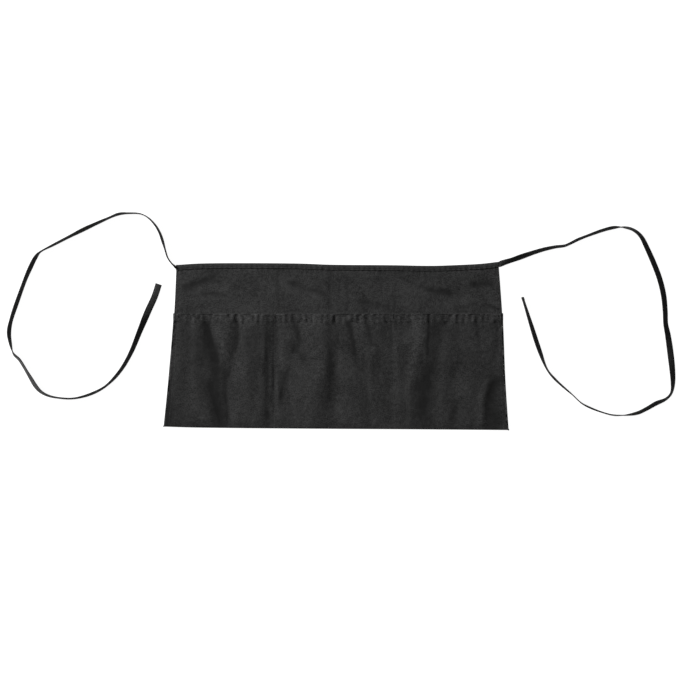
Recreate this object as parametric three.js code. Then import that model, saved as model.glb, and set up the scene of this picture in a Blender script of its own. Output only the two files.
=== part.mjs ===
// A waist apron of black cotton twill, laid out flat on a table with its pockets up.
// One cloth panel carries a second panel along its lower two thirds, stitched down at both sides
// and along two dividers, which makes three pockets. A folded tape binds the waist edge and
// runs on at both ends as a long tie that lies loose on the table.
// Millimetres, +Z up, +Y towards the waist. The origin is under the middle of the apron, on the
// table, with the ties left out of that middle.

import * as THREE from "three";

// Outline
const HEM_LENGTH = 609; // bottom edge, side to side
const WAIST_LENGTH = 569; // waist edge, side to side
const APRON_HEIGHT = 294; // bottom edge to the top of the waistband at its taller side
const POCKET_HEIGHT = 204; // bottom edge to the pocket mouth
const POCKET_EAR = 1.7; // how far the pocket's mouth stands out past the body at each side
const WAIST_SWAY = 7.3; // how far the waist edge dips between its ends
const FOOT_SWAY = 5.2; // how far the bottom edge rises towards its left end

// Hems and tape
const POCKET_HEM = 13; // strip turned in along the pocket mouth
const SIDE_HEM = 9; // strip turned back down each side
const TAPE_WIDTH = 9.5; // the waistband and the ties are one tape
const TIE_THICKNESS = 1.5; // the folded tape, four layers of thin cloth
const TIE_STEPS = 64; // rings along each tie

// Cloth
const CLOTH = 1; // one layer
const GAP = 0.3; // between two layers that touch
const PUFF = 12; // highest fold of the pocket above the body
const PUCKER = 1.2; // gathers between the stitches of the pocket hem
const WRINKLE = 4.5; // highest wrinkle of the body above the table
const EASE_OFF = 12; // distance in which a raised layer comes down again
const HEM_MARGIN = 1; // a layer starts to come down this far past a hem
const COLUMN_STEP = 8; // widest column of the pocket's mesh
const BODY_COLUMNS = 44;
const BAND_COLUMNS = 24;

// What follows from the sizes
const LAYER = CLOTH + GAP; // each layer of a stack starts this far above the last one
const MOUTH_SHARE = POCKET_HEIGHT / APRON_HEIGHT;
const BAND_FOLD = 1.5 * CLOTH + GAP; // the top of the waistband stands this far past the body's edge
const HEM_FOOT = 1 - POCKET_HEM / POCKET_HEIGHT; // the pocket hem's lower edge, as a share of the pocket
const BAND_FOOT = 1 - (TAPE_WIDTH + WAIST_SWAY) / APRON_HEIGHT; // the waistband's lowest edge, up the apron

// How far each side edge is drawn in, as a share of the whole taper, from the bottom edge up
const SIDES = [
  { up: 0, left: 0, right: 0 },
  { up: 0.29, left: 0.18, right: 0.125 },
  { up: 0.69, left: 0.44, right: 0.245 },
  { up: 1, left: 0.56, right: 0.44 },
];

// How far the waist edge dips, as a share of WAIST_SWAY
const WAIST_EDGE = [
  { across: 0, dip: 0.81 },
  { across: 0.07, dip: 0.44 },
  { across: 0.2, dip: 0.34 },
  { across: 0.38, dip: 0.44 },
  { across: 0.48, dip: 0.73 },
  { across: 0.67, dip: 0.85 },
  { across: 0.79, dip: 1 },
  { across: 0.87, dip: 0.81 },
  { across: 0.945, dip: 0.49 },
  { across: 1, dip: 0 },
];

// How far the bottom edge rises, as a share of FOOT_SWAY
const FOOT_EDGE = [
  { across: 0, rise: 1 },
  { across: 0.09, rise: 0.69 },
  { across: 0.35, rise: 0.41 },
  { across: 0.7, rise: 0.21 },
  { across: 1, rise: 0 },
];

// The pocket's folds from left to right. Each is a crest or a valley that runs from the mouth to
// the foot: where it lies across the pocket at its mouth, middle and foot, and how high it stands
// above the body there, as a share of PUFF.
const SEAM_SHARE = SIDE_HEM / HEM_LENGTH;
const FOLDS = [
  { fold: "left edge", mouth: 0, middle: 0, foot: 0, high: 0, half: 0, low: 0 },
  { fold: "left seam", mouth: SEAM_SHARE, middle: SEAM_SHARE, foot: SEAM_SHARE, high: 0, half: 0, low: 0 },
  { fold: "left crest", mouth: 0.06, middle: 0.05, foot: 0.08, high: 0.74, half: 0.7, low: 0.42 },
  { fold: "left shoulder", mouth: 0.08, middle: 0.095, foot: 0.125, high: 0.7, half: 0.56, low: 0.34 },
  { fold: "long valley", mouth: 0.097, middle: 0.148, foot: 0.183, high: 0.52, half: 0.2, low: 0.08 },
  { fold: "tongue", mouth: 0.142, middle: 0.166, foot: 0.194, high: 0.92, half: 0.36, low: 0.18 },
  { fold: "short valley", mouth: 0.188, middle: 0.181, foot: 0.204, high: 0.53, half: 0.3, low: 0.22 },
  { fold: "second crest", mouth: 0.215, middle: 0.212, foot: 0.235, high: 0.92, half: 0.76, low: 0.44 },
  { fold: "soft valley", mouth: 0.243, middle: 0.247, foot: 0.254, high: 0.78, half: 0.52, low: 0.4 },
  { fold: "third crest", mouth: 0.266, middle: 0.271, foot: 0.273, high: 0.84, half: 0.72, low: 0.44 },
  { fold: "first divider", mouth: 0.307, middle: 0.309, foot: 0.307, high: 0, half: 0, low: 0 },
  { fold: "fourth crest", mouth: 0.326, middle: 0.331, foot: 0.327, high: 0.76, half: 0.58, low: 0.42 },
  { fold: "leaning valley", mouth: 0.338, middle: 0.349, foot: 0.344, high: 0.74, half: 0.36, low: 0.26 },
  { fold: "low crest", mouth: 0.348, middle: 0.372, foot: 0.369, high: 0.78, half: 0.74, low: 0.5 },
  { fold: "slanting valley", mouth: 0.362, middle: 0.402, foot: 0.405, high: 0.53, half: 0.7, low: 0.46 },
  { fold: "wide crest", mouth: 0.407, middle: 0.437, foot: 0.442, high: 1, half: 0.92, low: 0.58 },
  { fold: "wide shoulder", mouth: 0.45, middle: 0.459, foot: 0.464, high: 0.92, half: 0.8, low: 0.54 },
  { fold: "middle valley", mouth: 0.483, middle: 0.495, foot: 0.499, high: 0.72, half: 0.38, low: 0.25 },
  { fold: "middle crest", mouth: 0.508, middle: 0.513, foot: 0.518, high: 0.92, half: 0.72, low: 0.46 },
  { fold: "hem valley", mouth: 0.533, middle: 0.557, foot: 0.561, high: 0.54, half: 0.6, low: 0.42 },
  { fold: "fifth crest", mouth: 0.565, middle: 0.58, foot: 0.584, high: 0.92, half: 0.75, low: 0.5 },
  { fold: "faint valley", mouth: 0.594, middle: 0.61, foot: 0.611, high: 0.66, half: 0.64, low: 0.45 },
  { fold: "sixth crest", mouth: 0.624, middle: 0.631, foot: 0.628, high: 0.78, half: 0.68, low: 0.42 },
  { fold: "second divider", mouth: 0.664, middle: 0.664, foot: 0.664, high: 0, half: 0, low: 0 },
  { fold: "seventh crest", mouth: 0.688, middle: 0.683, foot: 0.679, high: 0.68, half: 0.54, low: 0.36 },
  { fold: "narrow valley", mouth: 0.704, middle: 0.7, foot: 0.696, high: 0.66, half: 0.42, low: 0.25 },
  { fold: "tall crest", mouth: 0.76, middle: 0.722, foot: 0.713, high: 0.96, half: 0.8, low: 0.5 },
  { fold: "sharp valley", mouth: 0.777, middle: 0.79, foot: 0.797, high: 0.52, half: 0.3, low: 0.17 },
  { fold: "eighth crest", mouth: 0.812, middle: 0.829, foot: 0.83, high: 0.72, half: 0.68, low: 0.42 },
  { fold: "shallow valley", mouth: 0.834, middle: 0.863, foot: 0.86, high: 0.62, half: 0.6, low: 0.4 },
  { fold: "ninth crest", mouth: 0.876, middle: 0.898, foot: 0.897, high: 0.8, half: 0.72, low: 0.42 },
  { fold: "side valley", mouth: 0.916, middle: 0.94, foot: 0.925, high: 0.6, half: 0.6, low: 0.36 },
  { fold: "last crest", mouth: 0.952, middle: 0.963, foot: 0.955, high: 0.68, half: 0.44, low: 0.14 },
  { fold: "right seam", mouth: 1 - SEAM_SHARE, middle: 1 - SEAM_SHARE, foot: 1 - SEAM_SHARE, high: 0, half: 0, low: 0 },
  { fold: "right edge", mouth: 1, middle: 1, foot: 1, high: 0, half: 0, low: 0 },
];

// The body's wrinkles between the pocket and the waistband. Each is a ridge between two points,
// given across the apron and up it, with its height as a share of WRINKLE and its width in shares
// of the apron's height.
const WRINKLES = [
  { wrinkle: "left corner", across: 0.02, up: 0.87, toAcross: 0.125, toUp: 0.952, height: 1, width: 0.055 },
  { wrinkle: "left side", across: 0.03, up: 0.79, toAcross: 0.085, toUp: 0.73, height: 0.5, width: 0.05 },
  { wrinkle: "left arc", across: 0.215, up: 0.825, toAcross: 0.28, toUp: 0.88, height: 0.4, width: 0.05 },
  { wrinkle: "under the band", across: 0.305, up: 0.94, toAcross: 0.352, toUp: 0.9, height: 0.45, width: 0.035 },
  { wrinkle: "middle arc", across: 0.33, up: 0.9, toAcross: 0.465, toUp: 0.815, height: 0.8, width: 0.055 },
  { wrinkle: "over the pocket", across: 0.55, up: 0.79, toAcross: 0.65, toUp: 0.75, height: 0.5, width: 0.045 },
  { wrinkle: "small slant", across: 0.684, up: 0.925, toAcross: 0.73, toUp: 0.89, height: 0.4, width: 0.035 },
  { wrinkle: "right wedge", across: 0.755, up: 0.88, toAcross: 0.875, toUp: 0.843, height: 0.85, width: 0.05 },
  { wrinkle: "right mouth", across: 0.83, up: 0.735, toAcross: 0.91, toUp: 0.765, height: 0.6, width: 0.045 },
  { wrinkle: "right corner", across: 0.89, up: 0.905, toAcross: 0.972, toUp: 0.872, height: 0.8, width: 0.05 },
  { wrinkle: "right side", across: 0.935, up: 0.775, toAcross: 0.975, toUp: 0.74, height: 0.6, width: 0.04 },
];

// The ties' routes over the table. Each row is a step from the waistband's end, and the roll of
// the tape about its own line: 0 lies flat, 90 stands on its edge.
const LEFT_ROUTE = [
  { x: 0, y: 0, roll: 0 },
  { x: -5.9, y: 4.1, roll: 52 },
  { x: -11.2, y: 9.1, roll: 84 },
  { x: -17.8, y: 19.6, roll: 88 },
  { x: -22.4, y: 35.6, roll: 86 },
  { x: -26.3, y: 49.8, roll: 74 },
  { x: -30.6, y: 63.1, roll: 76 },
  { x: -38.4, y: 77.4, roll: 84 },
  { x: -51.4, y: 91.3, roll: 88 },
  { x: -65.1, y: 97.9, roll: 90 },
  { x: -84.7, y: 99.1, roll: 92 },
  { x: -102.5, y: 98.1, roll: 104 },
  { x: -120.3, y: 91.5, roll: 97 },
  { x: -145.2, y: 80.4, roll: 110 },
  { x: -163.6, y: 71.6, roll: 115 },
  { x: -191.5, y: 57.3, roll: 104 },
  { x: -220.7, y: 42.2, roll: 98 },
  { x: -242.3, y: 31.5, roll: 93 },
  { x: -250.8, y: 23.1, roll: 112 },
  { x: -258.3, y: 9.6, roll: 118 },
  { x: -269.8, y: -16.6, roll: 112 },
  { x: -284.4, y: -57, roll: 114 },
  { x: -295.1, y: -89.4, roll: 110 },
  { x: -299.6, y: -112.1, roll: 118 },
  { x: -297.3, y: -133.5, roll: 98 },
  { x: -292.1, y: -151.3, roll: 91 },
  { x: -280.5, y: -163.8, roll: 72 },
  { x: -264.5, y: -190.1, roll: 64 },
  { x: -249.4, y: -213.6, roll: 60 },
  { x: -234.2, y: -224.7, roll: 82 },
  { x: -212.9, y: -229.7, roll: 90 },
  { x: -182.6, y: -230.4, roll: 88 },
  { x: -152.4, y: -221.7, roll: 80 },
  { x: -125.7, y: -206.2, roll: 77 },
  { x: -101.6, y: -180.3, roll: 70 },
  { x: -82.9, y: -148.3, roll: 58 },
  { x: -67.8, y: -110.9, roll: 40 },
  { x: -53.6, y: -75.1, roll: 12 },
  { x: -42, y: -50, roll: 4 },
  { x: -34.5, y: -28.5, roll: 0 },
];
const RIGHT_ROUTE = [
  { x: 0, y: 0, roll: 0 },
  { x: 11.6, y: 4.4, roll: 28 },
  { x: 24, y: 9.4, roll: 44 },
  { x: 41.8, y: 16.6, roll: 42 },
  { x: 61.6, y: 23.5, roll: 54 },
  { x: 81.5, y: 29.4, roll: 64 },
  { x: 101.5, y: 33.5, roll: 71 },
  { x: 116.6, y: 35.1, roll: 74 },
  { x: 126.4, y: 38.8, roll: 78 },
  { x: 141.5, y: 46.3, roll: 74 },
  { x: 164.7, y: 55.4, roll: 74 },
  { x: 187.8, y: 63.5, roll: 75 },
  { x: 205.6, y: 67.8, roll: 78 },
  { x: 225.2, y: 68.7, roll: 82 },
  { x: 241.2, y: 64.8, roll: 68 },
  { x: 255.4, y: 53.2, roll: 52 },
  { x: 267, y: 32.4, roll: 46 },
  { x: 280.2, y: 3, roll: 44 },
  { x: 290.1, y: -23.7, roll: 46 },
  { x: 296.9, y: -52.2, roll: 44 },
  { x: 299.6, y: -80.6, roll: 44 },
  { x: 300.5, y: -102.9, roll: 56 },
  { x: 304.7, y: -123.4, roll: 36 },
  { x: 309.2, y: -152.7, roll: 10 },
  { x: 312.4, y: -182.1, roll: 28 },
  { x: 313.3, y: -207, roll: 56 },
  { x: 309.7, y: -226.6, roll: 78 },
  { x: 299, y: -238.7, roll: 86 },
  { x: 281.2, y: -247.1, roll: 116 },
  { x: 262.6, y: -257.4, roll: 118 },
  { x: 245.6, y: -264.3, roll: 104 },
  { x: 219.8, y: -266.6, roll: 90 },
  { x: 194.9, y: -263.3, roll: 82 },
  { x: 153.1, y: -246.2, roll: 80 },
  { x: 131.5, y: -226.8, roll: 84 },
  { x: 104.1, y: -202.6, roll: 86 },
  { x: 87.2, y: -182.6, roll: 76 },
  { x: 72.8, y: -146.9, roll: 48 },
  { x: 59.1, y: -105.7, roll: 52 },
  { x: 43.6, y: -57.5, roll: 74 },
];

const twill = new THREE.MeshStandardMaterial({ color: 0x2f2f2f, roughness: 0.92, metalness: 0 });
const hemTwill = new THREE.MeshStandardMaterial({ color: 0x2b2b2b, roughness: 0.92, metalness: 0 });
const tapeTwill = new THREE.MeshStandardMaterial({ color: 0x292929, roughness: 0.88, metalness: 0 });

const lerp = THREE.MathUtils.lerp;
const eased = (share) => THREE.MathUtils.smoothstep(share, 0, 1);

// Reads a table between its rows along one smooth line, with each row's slope taken from its
// two neighbours.
function smoothAt(rows, place, value, at) {
  const last = rows.length - 1;
  const after = Math.min(last, Math.max(1, rows.findIndex((row) => row[place] >= at)));
  const slope = (k) => {
    const [before, next] = [rows[Math.max(0, k - 1)], rows[Math.min(last, k + 1)]];
    return (next[value] - before[value]) / (next[place] - before[place]);
  };
  const [start, end] = [rows[after - 1], rows[after]];
  const run = end[place] - start[place];
  const t = (at - start[place]) / run;
  return (
    start[value] * (1 + 2 * t) * (1 - t) ** 2 +
    end[value] * t * t * (3 - 2 * t) +
    run * t * (1 - t) * (slope(after - 1) * (1 - t) - slope(after) * t)
  );
}

// Three heights on one parabola: at the foot, the middle and the mouth of the pocket.
function throughThree(foot, middle, mouth, up) {
  const [rise, bow] = [mouth - foot, 2 * (foot + mouth) - 4 * middle];
  return foot + (rise - bow) * up + bow * up * up;
}

// Every layer of cloth is a thin box with a fine grid, whose points are then put in place.
// place(column, row, upper) gives a point; columns run across, rows run up, upper is the top face.
function clothPiece(name, material, columns, rows, place) {
  const [across, up] = [columns.length - 1, rows.length - 1];
  const geometry = new THREE.BoxGeometry(1, 1, 1, across, up, 1);
  const points = geometry.getAttribute("position");
  for (let i = 0; i < points.count; i++) {
    const column = columns[Math.round((points.getX(i) + 0.5) * across)];
    const row = rows[Math.round((points.getY(i) + 0.5) * up)];
    points.setXYZ(i, ...place(column, row, points.getZ(i) > 0));
  }
  geometry.computeVertexNormals();
  const mesh = new THREE.Mesh(geometry, material);
  mesh.name = name;
  return mesh;
}

const evenly = (steps) => Array.from({ length: steps + 1 }, (_, k) => k / steps);

// The outline, from shares across the apron and up it
const taper = HEM_LENGTH - WAIST_LENGTH;
const leftEdge = (up) => -HEM_LENGTH / 2 + taper * smoothAt(SIDES, "up", "left", up);
const rightEdge = (up) => HEM_LENGTH / 2 - taper * smoothAt(SIDES, "up", "right", up);
const waistEdge = (across) =>
  APRON_HEIGHT / 2 - WAIST_SWAY * smoothAt(WAIST_EDGE, "across", "dip", across);
const footEdge = (across) =>
  -APRON_HEIGHT / 2 + FOOT_SWAY * smoothAt(FOOT_EDGE, "across", "rise", across);
const mouthLevel = POCKET_HEIGHT - APRON_HEIGHT / 2;

function acrossAt(across, up, ear = 0) {
  return lerp(leftEdge(up) - ear, rightEdge(up) + ear, across);
}

// The height in plan of a share up the apron: even steps below the pocket's mouth and above it.
function levelAt(across, up) {
  return up < MOUTH_SHARE
    ? lerp(footEdge(across), mouthLevel, up / MOUTH_SHARE)
    : lerp(mouthLevel, waistEdge(across), (up - MOUTH_SHARE) / (1 - MOUTH_SHARE));
}

// The body lies on the table, and rides up on the side hems and on the waistband's back.
const upperHeight = APRON_HEIGHT - POCKET_HEIGHT - WAIST_SWAY;
const sideRaised = (SIDE_HEM + HEM_MARGIN) / WAIST_LENGTH;
const sideFlat = sideRaised + EASE_OFF / WAIST_LENGTH;
const bandRaised = 1 - ((TAPE_WIDTH + HEM_MARGIN) / upperHeight) * (1 - MOUTH_SHARE);
const bandFlat = bandRaised - (EASE_OFF / upperHeight) * (1 - MOUTH_SHARE);

function bodyRaise(across, up) {
  const fromSide = Math.min(across, 1 - across);
  const side = THREE.MathUtils.clamp((sideFlat - fromSide) / (sideFlat - sideRaised), 0, 1);
  const band = THREE.MathUtils.clamp((up - bandFlat) / (bandRaised - bandFlat), 0, 1);
  return Math.max(side, band);
}

function wrinkleAt(across, up) {
  const fade = eased((up - MOUTH_SHARE) / (1 - MOUTH_SHARE) / 0.1) * (1 - bodyRaise(across, up));
  const stretch = HEM_LENGTH / APRON_HEIGHT;
  let lift = 0;
  for (const { across: fromAcross, up: fromUp, toAcross, toUp, height, width } of WRINKLES) {
    const [runAcross, runUp] = [(toAcross - fromAcross) * stretch, toUp - fromUp];
    const [wayAcross, wayUp] = [(across - fromAcross) * stretch, up - fromUp];
    const run = Math.hypot(runAcross, runUp);
    const along = (wayAcross * runAcross + wayUp * runUp) / (run * run);
    const aside = (wayAcross * runUp - wayUp * runAcross) / (run * width);
    const end = eased(Math.min(along + 0.15, 1.15 - along) / 0.4);
    lift = Math.max(lift, height * end * Math.exp(-4 * aside * aside));
  }
  return WRINKLE * lift * fade;
}

const bodyFloor = (across, up) => LAYER * bodyRaise(across, up) + wrinkleAt(across, up);

function bodyPanel() {
  const inner = evenly(BODY_COLUMNS - 4).map((share) => lerp(sideFlat, 1 - sideFlat, share));
  const columns = [0, sideRaised, ...inner, 1 - sideRaised, 1];
  const hidden = evenly(3).map((share) => share * MOUTH_SHARE);
  const shown = evenly(8).map((share) => lerp(MOUTH_SHARE, bandFlat, share));
  const rows = [...hidden, ...shown.slice(1), bandRaised, 1];
  return clothPiece("body_panel", twill, columns, rows, (across, up, upper) => {
    const [start, end] = [footEdge(across) + LAYER, waistEdge(across) - BAND_FOLD];
    const level = THREE.MathUtils.clamp(levelAt(across, up), start, end);
    return [acrossAt(across, up), level, bodyFloor(across, up) + (upper ? CLOTH : 0)];
  });
}

// The strips turned back under the body's sides, from the pocket's folded foot to the waistband.
function sideHem(name, outer, inner) {
  const [left, right] = [Math.min(outer, inner), Math.max(outer, inner)];
  return clothPiece(name, hemTwill, [left, right], evenly(12), (across, share, upper) => {
    const top = waistEdge(across) - TAPE_WIDTH - GAP;
    const level = lerp(footEdge(across) + LAYER, top, share);
    const up = (level + APRON_HEIGHT / 2) / APRON_HEIGHT;
    return [acrossAt(across, up), level, upper ? CLOTH : 0];
  });
}

// Where a fold lies across the pocket, and how high it stands above the body, at a share up it.
const foldAcross = ({ mouth, middle, foot }, up) => throughThree(foot, middle, mouth, up);
function foldHeight({ high, half, low }, up) {
  const atFoot = Math.sin((Math.PI / 2) * Math.min(1, up / 0.12)); // flat where the foot is folded
  return PUFF * Math.max(0, throughThree(low, half, high, up)) * atFoot;
}

// A column of the pocket's mesh lies between two folds: that pair and its share of the way.
function pocketColumns() {
  const columns = FOLDS.slice(1).flatMap((fold, k) => {
    const steps = Math.ceil(((fold.mouth - FOLDS[k].mouth) * HEM_LENGTH) / COLUMN_STEP);
    return evenly(steps)
      .slice(0, -1)
      .map((share) => ({ from: FOLDS[k], to: fold, share }));
  });
  columns.push({ from: FOLDS.at(-2), to: FOLDS.at(-1), share: 1 });
  return columns.map((column, k) => ({ ...column, gather: k % 2 }));
}

const hemRaised = HEM_FOOT - HEM_MARGIN / POCKET_HEIGHT;
const hemFlat = hemRaised - EASE_OFF / POCKET_HEIGHT;

// A point of the layer that lies a given height over the pocket's space.
function pocketPoint({ from, to, share, gather }, up, height) {
  const across = lerp(foldAcross(from, up), foldAcross(to, up), share);
  const gathered = eased((up - hemFlat) / (hemRaised - hemFlat)) * gather * PUCKER;
  const folded = lerp(foldHeight(from, up), foldHeight(to, up), eased(share));
  const onApron = up * MOUTH_SHARE;
  const seamed = folded > 0 ? gathered : 0;
  const ear = POCKET_EAR * up;
  const level = levelAt(across, onApron);
  const floor = LAYER * bodyRaise(across, onApron) + LAYER + folded + seamed;
  return [acrossAt(across, onApron, ear), level, floor + height];
}

// The pocket's cloth: it turns down to the table along its foot, and rides over its hem.
function pocketPanel() {
  const FOOT_TURN = -1; // the row under the folded foot
  const rows = [FOOT_TURN, 0, 0.03, 0.09, 0.2, 0.35, 0.5, 0.65, 0.8, hemFlat, hemRaised, 1];
  return clothPiece("pocket_panel", twill, pocketColumns(), rows, (column, row, upper) => {
    const up = Math.max(0, row);
    const raise = LAYER * THREE.MathUtils.clamp((up - hemFlat) / (hemRaised - hemFlat), 0, 1);
    const point = pocketPoint(column, up, raise + (upper ? CLOTH : 0));
    if (up === 0 && !upper) point[1] += CLOTH;
    if (row === FOOT_TURN) point[2] = 0;
    return point;
  });
}

// The strip turned in behind the pocket's mouth.
function pocketHem() {
  return clothPiece("pocket_hem", hemTwill, pocketColumns(), [HEM_FOOT, 1], (column, up, upper) =>
    pocketPoint(column, up, upper ? CLOTH : 0),
  );
}

// The waistband: tape folded over the body's waist edge, from its back edge round to its front.
function waistband() {
  const TURN_STEPS = 4;
  const turn = evenly(TURN_STEPS).map((share) => ({ angle: Math.PI * share, flap: 0 }));
  const flap = TAPE_WIDTH - BAND_FOLD;
  const section = [{ angle: 0, flap }, ...turn, { angle: Math.PI, flap }];
  return clothPiece("waistband", tapeTwill, evenly(BAND_COLUMNS), section, (across, bend, upper) => {
    const radius = upper ? LAYER - CLOTH / 2 : LAYER + CLOTH / 2;
    const centre = waistEdge(across) - BAND_FOLD;
    const level = centre + radius * Math.sin(bend.angle) - bend.flap;
    return [acrossAt(across, BAND_FOOT), level, BAND_FOLD - radius * Math.cos(bend.angle)];
  });
}

// A tie: flat tape along its route, rolled about its own line, with its lowest edge on the table.
function tie(name, route, across, heading) {
  const bandEnd = acrossAt(across, BAND_FOOT);
  const start = new THREE.Vector3(bandEnd + heading * GAP, waistEdge(across) - TAPE_WIDTH / 2, 0);
  const curve = new THREE.CatmullRomCurve3(
    route.map(({ x, y }) => new THREE.Vector3(x, y, 0).add(start)),
    false,
    "centripetal",
  );
  curve.arcLengthDivisions = 20 * TIE_STEPS;
  const length = curve.getLength();
  const rollAt = (share) => {
    const row = curve.getUtoTmapping(share) * (route.length - 1);
    const before = Math.min(Math.floor(row), route.length - 2);
    const roll = lerp(route[before].roll, route[before + 1].roll, eased(row - before));
    return THREE.MathUtils.degToRad(roll);
  };
  // The section has eight corners: its two edges are rounded off.
  const EDGE = 0.12;
  const section = [
    { aside: -0.5, thick: 0.5 },
    { aside: EDGE - 0.5, thick: 1 },
    { aside: 0.5 - EDGE, thick: 1 },
    { aside: 0.5, thick: 0.5 },
  ];
  return clothPiece(name, tapeTwill, evenly(TIE_STEPS), section, (share, { aside, thick }, upper) => {
    const centre = curve.getPointAt(share);
    const way = share === 0 ? new THREE.Vector3(heading, 0, 0) : curve.getTangentAt(share);
    const roll = rollAt(share);
    const settled = eased((share * length) / (2 * TAPE_WIDTH));
    const onTable = (TAPE_WIDTH * Math.abs(Math.sin(roll)) + TIE_THICKNESS * Math.abs(Math.cos(roll))) / 2;
    centre.z = onTable + (1 - settled) * (BAND_FOLD - TIE_THICKNESS / 2);
    const level = new THREE.Vector3(-way.y, way.x, 0);
    const upright = new THREE.Vector3(0, 0, 1);
    const wide = level.clone().multiplyScalar(Math.cos(roll)).addScaledVector(upright, Math.sin(roll));
    const face = upright.multiplyScalar(Math.cos(roll)).addScaledVector(level, -Math.sin(roll));
    centre.addScaledVector(wide, aside * TAPE_WIDTH);
    centre.addScaledVector(face, ((upper ? 1 : -1) * thick * TIE_THICKNESS) / 2);
    return centre.toArray();
  });
}

const apron = new THREE.Group();
apron.add(
  bodyPanel(),
  sideHem("side_hem_left", 0, SIDE_HEM / WAIST_LENGTH),
  sideHem("side_hem_right", 1, 1 - SIDE_HEM / WAIST_LENGTH),
  pocketPanel(),
  pocketHem(),
  waistband(),
  tie("tie_left", LEFT_ROUTE, 0, -1),
  tie("tie_right", RIGHT_ROUTE, 1, 1),
);

export default apron;
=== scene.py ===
# %% [markdown]
# # A waist apron, laid out flat
#
# The apron is black cotton twill: one panel of cloth with a second panel sewn on its lower two
# thirds as three pockets, a narrow tape folded over the waist edge, and the same tape running on
# at both ends as long ties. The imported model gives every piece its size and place. This notebook
# gives the pieces their folds, gathers, stitches and finish.

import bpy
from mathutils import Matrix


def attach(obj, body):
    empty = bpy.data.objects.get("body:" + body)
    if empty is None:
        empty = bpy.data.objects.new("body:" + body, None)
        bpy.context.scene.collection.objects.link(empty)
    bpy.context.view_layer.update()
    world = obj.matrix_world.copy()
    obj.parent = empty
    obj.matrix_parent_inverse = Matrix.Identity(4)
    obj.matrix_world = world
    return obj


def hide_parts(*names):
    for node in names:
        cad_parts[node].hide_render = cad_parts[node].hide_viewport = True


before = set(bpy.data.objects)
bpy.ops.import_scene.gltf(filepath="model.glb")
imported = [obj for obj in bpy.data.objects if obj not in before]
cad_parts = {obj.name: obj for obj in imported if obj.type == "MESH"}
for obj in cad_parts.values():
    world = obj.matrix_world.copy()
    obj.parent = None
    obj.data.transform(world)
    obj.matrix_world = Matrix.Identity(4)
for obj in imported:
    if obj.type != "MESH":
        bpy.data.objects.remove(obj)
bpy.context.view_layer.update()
print("the frame holds", ", ".join(sorted(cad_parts)))

# %% What the notebook works with
import math
from collections import namedtuple

import bpy
import numpy as np
from mathutils import Vector

MM = 0.001

# %% [markdown]
# ## Camera, floor and light
#
# The apron is seen from straight above. A long lens far away keeps its edges true, where a short
# one near by would show the ties' far sides. The light is a soft window, low on the left, with a
# dim room for the rest: light that rakes over the cloth draws every fold. The apron lies on a
# table that is lit from below, the way small goods are often photographed, which takes every
# shadow off the table.

# %% Camera
VIEW_WIDTH = 1.2446  # what the picture's 700 pixels cover on the floor
VIEW_CENTRE = (0.0249, -0.0076)
LENS, SENSOR = 85.0, 36.0

camera_data = bpy.data.cameras.new("camera")
camera_data.lens = LENS
camera_data.sensor_width = SENSOR
camera_data.clip_end = 50
camera = bpy.data.objects.new("camera", camera_data)
camera.location = (*VIEW_CENTRE, VIEW_WIDTH * LENS / SENSOR)
bpy.context.scene.collection.objects.link(camera)
bpy.context.scene.camera = camera
print(f"the camera looks down from {camera.location.z:.2f} m")


# %% Light
def soft_light(name, place, aim, size, watts):
    """A square area light at place, turned to look at aim."""
    data = bpy.data.lights.new(name, "AREA")
    data.shape = "SQUARE"
    data.size = size
    data.energy = watts
    light = bpy.data.objects.new(name, data)
    light.location = place
    light.rotation_euler = (Vector(aim) - Vector(place)).to_track_quat("-Z", "Y").to_euler()
    bpy.context.scene.collection.objects.link(light)
    return light


ROOM_STRENGTH = 0.22
WINDOW_PLACE = (-5.2, 2.2, 2.1)
WINDOW_SIZE = 1.6
WINDOW_WATTS = 1240

soft_light("window", WINDOW_PLACE, (0, 0, 0), WINDOW_SIZE, WINDOW_WATTS)
world = bpy.data.worlds.new("room")
world.use_nodes = True
world.node_tree.nodes["Background"].inputs["Color"].default_value = (1, 1, 1, 1)
world.node_tree.nodes["Background"].inputs["Strength"].default_value = ROOM_STRENGTH
bpy.context.scene.world = world
bpy.context.scene.view_settings.view_transform = "Standard"
print("a window of", WINDOW_WATTS, "W and a white room of", ROOM_STRENGTH, "light the apron")

# %% [markdown]
# ## Writing materials as sums
#
# A cloth finish is mostly arithmetic on the cloth's own coordinates. Nodes can be wired by hand,
# one call a link, but a sum is easier to read as a sum. One small class stands for a wire and
# overloads the operators, and a second one collects the nodes of one material.


# %% Wires and finishes
class Wire:
    """An output of a shader node. Sums of wires and numbers add Math nodes."""

    def __init__(self, finish, socket):
        self.finish = finish
        self.socket = socket

    def __add__(self, other):
        return self.finish.math("ADD", self, other)

    def __sub__(self, other):
        return self.finish.math("SUBTRACT", self, other)

    def __rsub__(self, other):
        return self.finish.math("SUBTRACT", other, self)

    def __mul__(self, other):
        return self.finish.math("MULTIPLY", self, other)

    def __truediv__(self, other):
        return self.finish.math("DIVIDE", self, other)

    def __lt__(self, other):
        return self.finish.math("LESS_THAN", self, other)

    __radd__ = __add__
    __rmul__ = __mul__


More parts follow.
